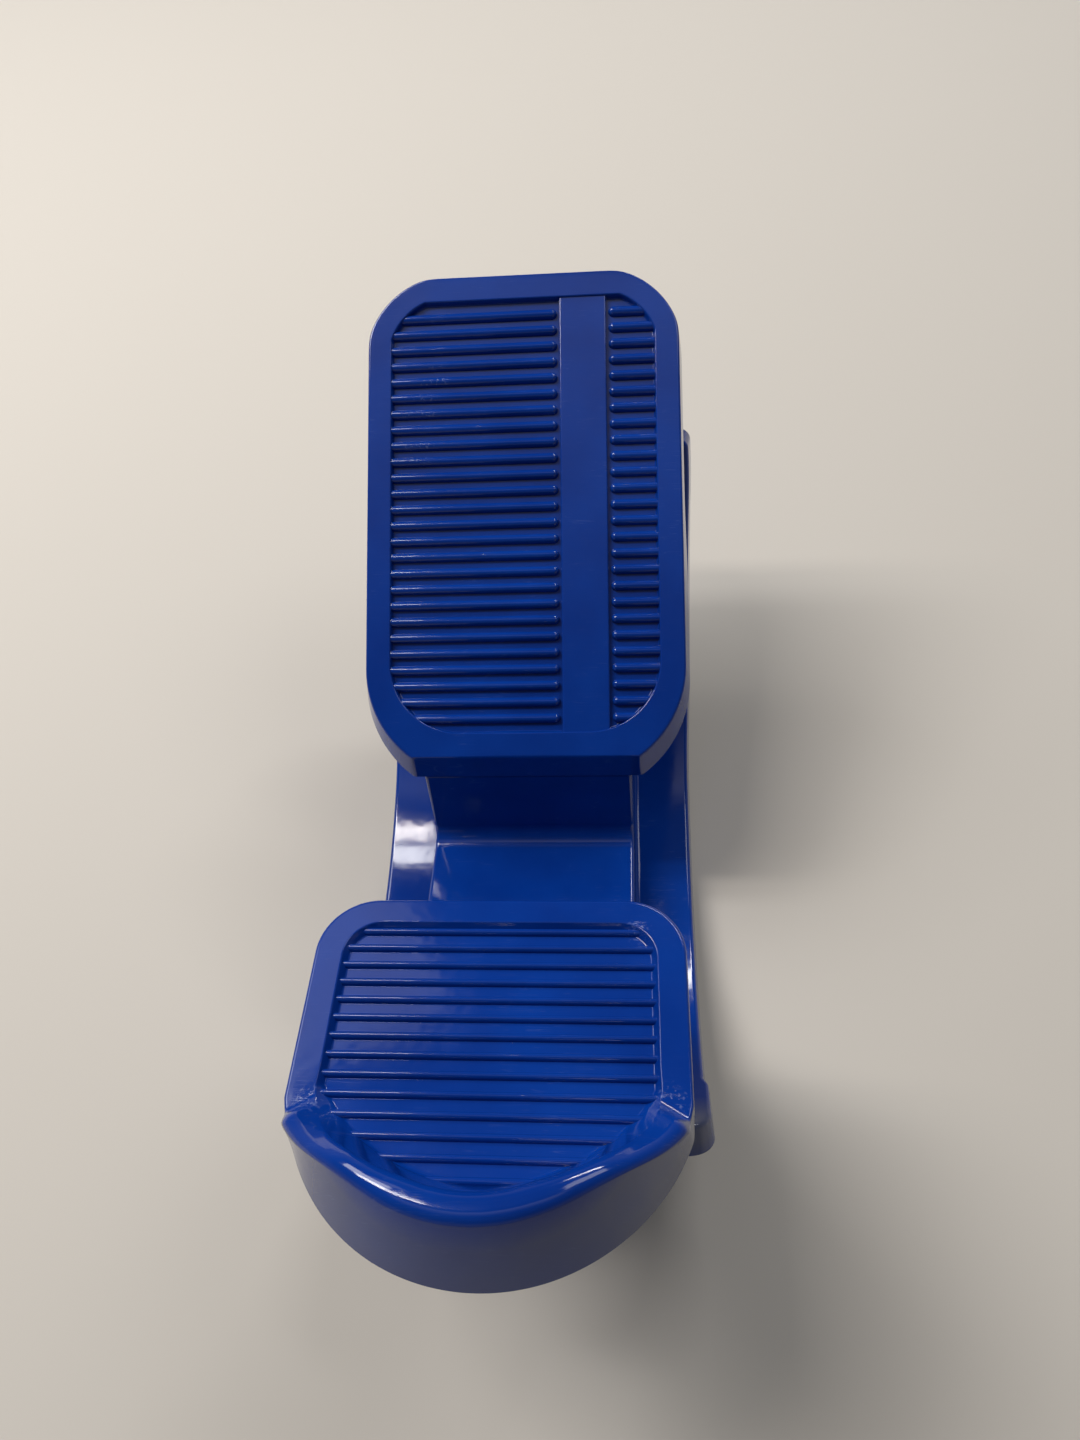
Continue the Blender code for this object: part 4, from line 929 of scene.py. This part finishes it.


# Mask for the painted reflection of the floor on the cup's outer wall
def on_cup_wall(tree, place):
    """One on the steep surfaces behind the heel that face away from the cup's middle, and nothing on the
    crown or inside the cup: the surface's normal is set against the line from the cup's middle, seen from
    above, and that line is long only on the outer wall."""
    split = add_node(tree, "SeparateXYZ", {"Vector": place}).outputs
    normal = add_node(tree, "NewGeometry", {}).outputs["Normal"]
    upward = add_node(tree, "SeparateXYZ", {"Vector": normal}).outputs["Z"]
    line = vector_node(tree, "SUBTRACT", place, CUP_MIDDLE)
    line = vector_node(tree, "MULTIPLY", line, SEEN_FROM_ABOVE)
    away = vector_node(tree, "DOT_PRODUCT", line, normal, "Value")
    reach = add_node(tree, "VectorMath", {0: line}, operation="LENGTH").outputs["Value"]
    return product(
        tree,
        falling(tree, split["Y"], WALL_BEHIND),
        ranged(tree, split["Z"], WALL_ABOVE),
        ranged(tree, away, WALL_FACING),
        ranged(tree, reach, WALL_REACH),
        falling(tree, upward, WALL_UPWARD),
    )


def moulded_plastic():
    """Gloss moulding: a faintly clouded blue with fine scratches, scuffed and duller where feet rub, and with
    a painted reflection of the pale floor, greyish in patches, on the cup's outer wall and at the sole's rear
    corners."""
    material, tree, shader = new_material("moulded_blue", BLUE_DEEP, BLUE_PLAIN_ROUGH)
    place = object_place(tree)
    clouds = noise(tree, place, *CLOUDS)
    scratched_ways = [fine_scratches(tree, place, *direction) for direction in SCRATCH_DIRECTIONS]
    scratches = math_node(tree, "MAXIMUM", *scratched_ways)
    rubbed_ribs = product(tree, worn_patches(tree, place, RUBBED_RIBS), on_rib_tops(tree, place))
    rubbed = math_node(tree, "MAXIMUM", rubbed_ribs, worn_patches(tree, place, RUBBED_RIM))
    specks = ranged(tree, noise(tree, place, *SPECKS), SPECKS_READ, (0.0, RUBBED_SPECKS))
    scuffs = product(tree, rubbed, specks)
    faint = product(tree, scratches, ranged(tree, clouds, FAINT_READ, FAINT_SCRATCHES))
    strong = product(tree, scratches, rubbed, RUBBED_SCRATCHES)
    pale = math_node(tree, "MAXIMUM", math_node(tree, "MAXIMUM", scuffs, faint), strong)
    # Painted reflection: the floor's grey mixed into the base colour on the cup's outer wall and the sole's
    # rear corners
    painted_reflection_mask = math_node(tree, "MAXIMUM", on_cup_wall(tree, place), worn_patches(tree, place, PAINTED_REFLECTION_ENDS))
    painted_reflection = product(tree, painted_reflection_mask, ranged(tree, noise(tree, place, *PAINTED_REFLECTION_NOISE), PAINTED_REFLECTION_READ, PAINTED_REFLECTION_SHARE))
    colour = mixed(tree, ranged(tree, clouds, CLOUDS_READ), BLUE_DEEP, BLUE_LIGHT)
    colour = mixed(tree, painted_reflection, colour, BLUE_PAINTED_REFLECTION)
    colour = mixed(tree, pale, colour, BLUE_SCUFFED)
    tree.links.new(colour, shader.inputs["Base Color"])
    gloss = ranged(tree, noise(tree, place, *GLOSS), GLOSS_READ, BLUE_ROUGH)
    rough = math_node(tree, "ADD", gloss, product(tree, pale, SCUFFED_ROUGHER))
    tree.links.new(rough, shader.inputs["Roughness"])
    skin = bumped(tree, noise(tree, place, *SKIN), SKIN_DEPTH_M, shader)
    bumped(tree, math_node(tree, "SUBTRACT", 1.0, pale), SCRATCH_DEPTH_M, shader, skin)
    return material


def tread_rubber():
    """Matt black rubber, dusty in patches, with a fine grain."""
    material, tree, shader = new_material("tread_rubber", RUBBER_BLACK, RUBBER_PLAIN_ROUGH)
    place = object_place(tree)
    dust = ranged(tree, noise(tree, place, *DUST), DUST_READ, (0.0, RUBBER_DUST))
    tree.links.new(mixed(tree, dust, RUBBER_BLACK, RUBBER_DUSTY), shader.inputs["Base Color"])
    tree.links.new(ranged(tree, dust, (0.0, RUBBER_DUST), RUBBER_ROUGH), shader.inputs["Roughness"])
    bumped(tree, noise(tree, place, *RUBBER_GRAIN), GRAIN_DEPTH_M, shader)
    return material


def zinc_plated():
    """Zinc-plated steel with fine turning marks and a mottled gloss."""
    material, tree, shader = new_material("zinc_plated", ZINC, ZINC_PLAIN_ROUGH)
    shader.inputs["Metallic"].default_value = 1.0
    place = object_place(tree)
    mottle = noise(tree, place, *ZINC_MOTTLE)
    tree.links.new(mixed(tree, mottle, ZINC, ZINC_DULL), shader.inputs["Base Color"])
    tree.links.new(ranged(tree, mottle, ZINC_READ, ZINC_ROUGH), shader.inputs["Roughness"])
    bumped(tree, noise(tree, place, *ZINC_TURNING), TURNING_DEPTH_M, shader)
    return material


# Camera, floor and light


def make_camera():
    """The photograph's camera. Its axes are its right, up and backward directions."""
    data = bpy.data.cameras.new("photograph_view")
    camera = bpy.data.objects.new("photograph_view", data)
    bpy.context.scene.collection.objects.link(camera)
    data.sensor_fit = "VERTICAL"
    data.sensor_height = CAMERA_SENSOR
    data.lens = CAMERA_LENS
    data.clip_start = CAMERA_NEAR_M
    data.clip_end = CAMERA_FAR_M
    axes = Matrix((CAMERA_RIGHT, CAMERA_UP, CAMERA_BACK)).transposed().to_4x4()
    camera.matrix_world = Matrix.Translation([MM * value for value in CAMERA_AT]) @ axes
    bpy.context.scene.camera = camera


def make_floor():
    """A plain pale floor, square and level at height zero."""
    mesh = bpy.data.meshes.new("floor")
    corners = [(FLOOR_HALF_M * x, FLOOR_HALF_M * y, 0) for x, y in ((-1, -1), (1, -1), (1, 1), (-1, 1))]
    mesh.from_pydata(corners, [], [(0, 1, 2, 3)])
    floor = bpy.data.objects.new("floor", mesh)
    bpy.context.scene.collection.objects.link(floor)
    mesh.materials.append(new_material("floor_pale", FLOOR_PALE, FLOOR_ROUGH)[0])


def add_area_light(name, place, aimed, size, size_y, power, color):
    """A rectangular lamp that shines straight down, or at the object if it is aimed."""
    data = bpy.data.lights.new(name, "AREA")
    data.shape = "RECTANGLE"
    data.size = size
    data.size_y = size_y
    data.energy = power
    data.color = color
    light = bpy.data.objects.new(name, data)
    bpy.context.scene.collection.objects.link(light)
    light.matrix_world = Matrix.Translation(place)
    if aimed:
        back = Matrix.Translation(place).translation - Matrix.Translation(AIMED_AT).translation
        light.matrix_world = light.matrix_world @ back.to_track_quat("Z", "Y").to_matrix().to_4x4()


def make_light():
    """A room: two long ceiling lamps, a window on each side, a long lamp and a glow in front, walls brighter
    than the ceiling, and a soft glow overhead that is strongest straight up."""
    for lamp in LAMPS:
        add_area_light(*lamp)
    world = bpy.data.worlds.new("room")
    bpy.context.scene.world = world
    world.use_nodes = True
    tree = world.node_tree
    direction = add_node(tree, "TexCoord", {}).outputs["Generated"]
    split = add_node(tree, "SeparateXYZ", {"Vector": direction}).outputs
    colour = mixed(tree, falling(tree, split["Z"], WALLS_UPWARD), ROOM_OVERHEAD, ROOM_WALLS)
    glow = product(
        tree,
        math_node(tree, "POWER", ranged(tree, split["Y"], GLOW_FROM_REAR), GLOW_POWER),
        falling(tree, split["Y"], GLOW_TO_FRONT),
        ranged(tree, split["Z"], GLOW_UPWARD),
    )
    colour = mixed(tree, glow, colour, ROOM_GLOW)
    tree.links.new(colour, tree.nodes["Background"].inputs["Color"])


# The scene


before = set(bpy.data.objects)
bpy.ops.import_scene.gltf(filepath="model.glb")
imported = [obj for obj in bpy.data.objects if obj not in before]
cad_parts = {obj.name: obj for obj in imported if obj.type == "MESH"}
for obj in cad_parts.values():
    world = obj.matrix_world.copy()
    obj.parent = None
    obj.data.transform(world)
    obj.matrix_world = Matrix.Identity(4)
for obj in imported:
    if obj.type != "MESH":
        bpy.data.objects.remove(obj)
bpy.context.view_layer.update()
bpy.context.scene.view_settings.view_transform = "Standard"
make_camera()
make_floor()
make_light()

BLUE = moulded_plastic()
make_forefoot_platform(BLUE)
make_heel_platform(BLUE)
make_rocker_frame(BLUE)
FINISHES = {"sole_plate": BLUE, "sole_tread": tread_rubber()}
ZINC_FINISH = zinc_plated()
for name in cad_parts:
    if "screw" in name:
        FINISHES[name] = ZINC_FINISH
for name, finish in FINISHES.items():
    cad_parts[name].data.materials.clear()
    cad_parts[name].data.materials.append(finish)
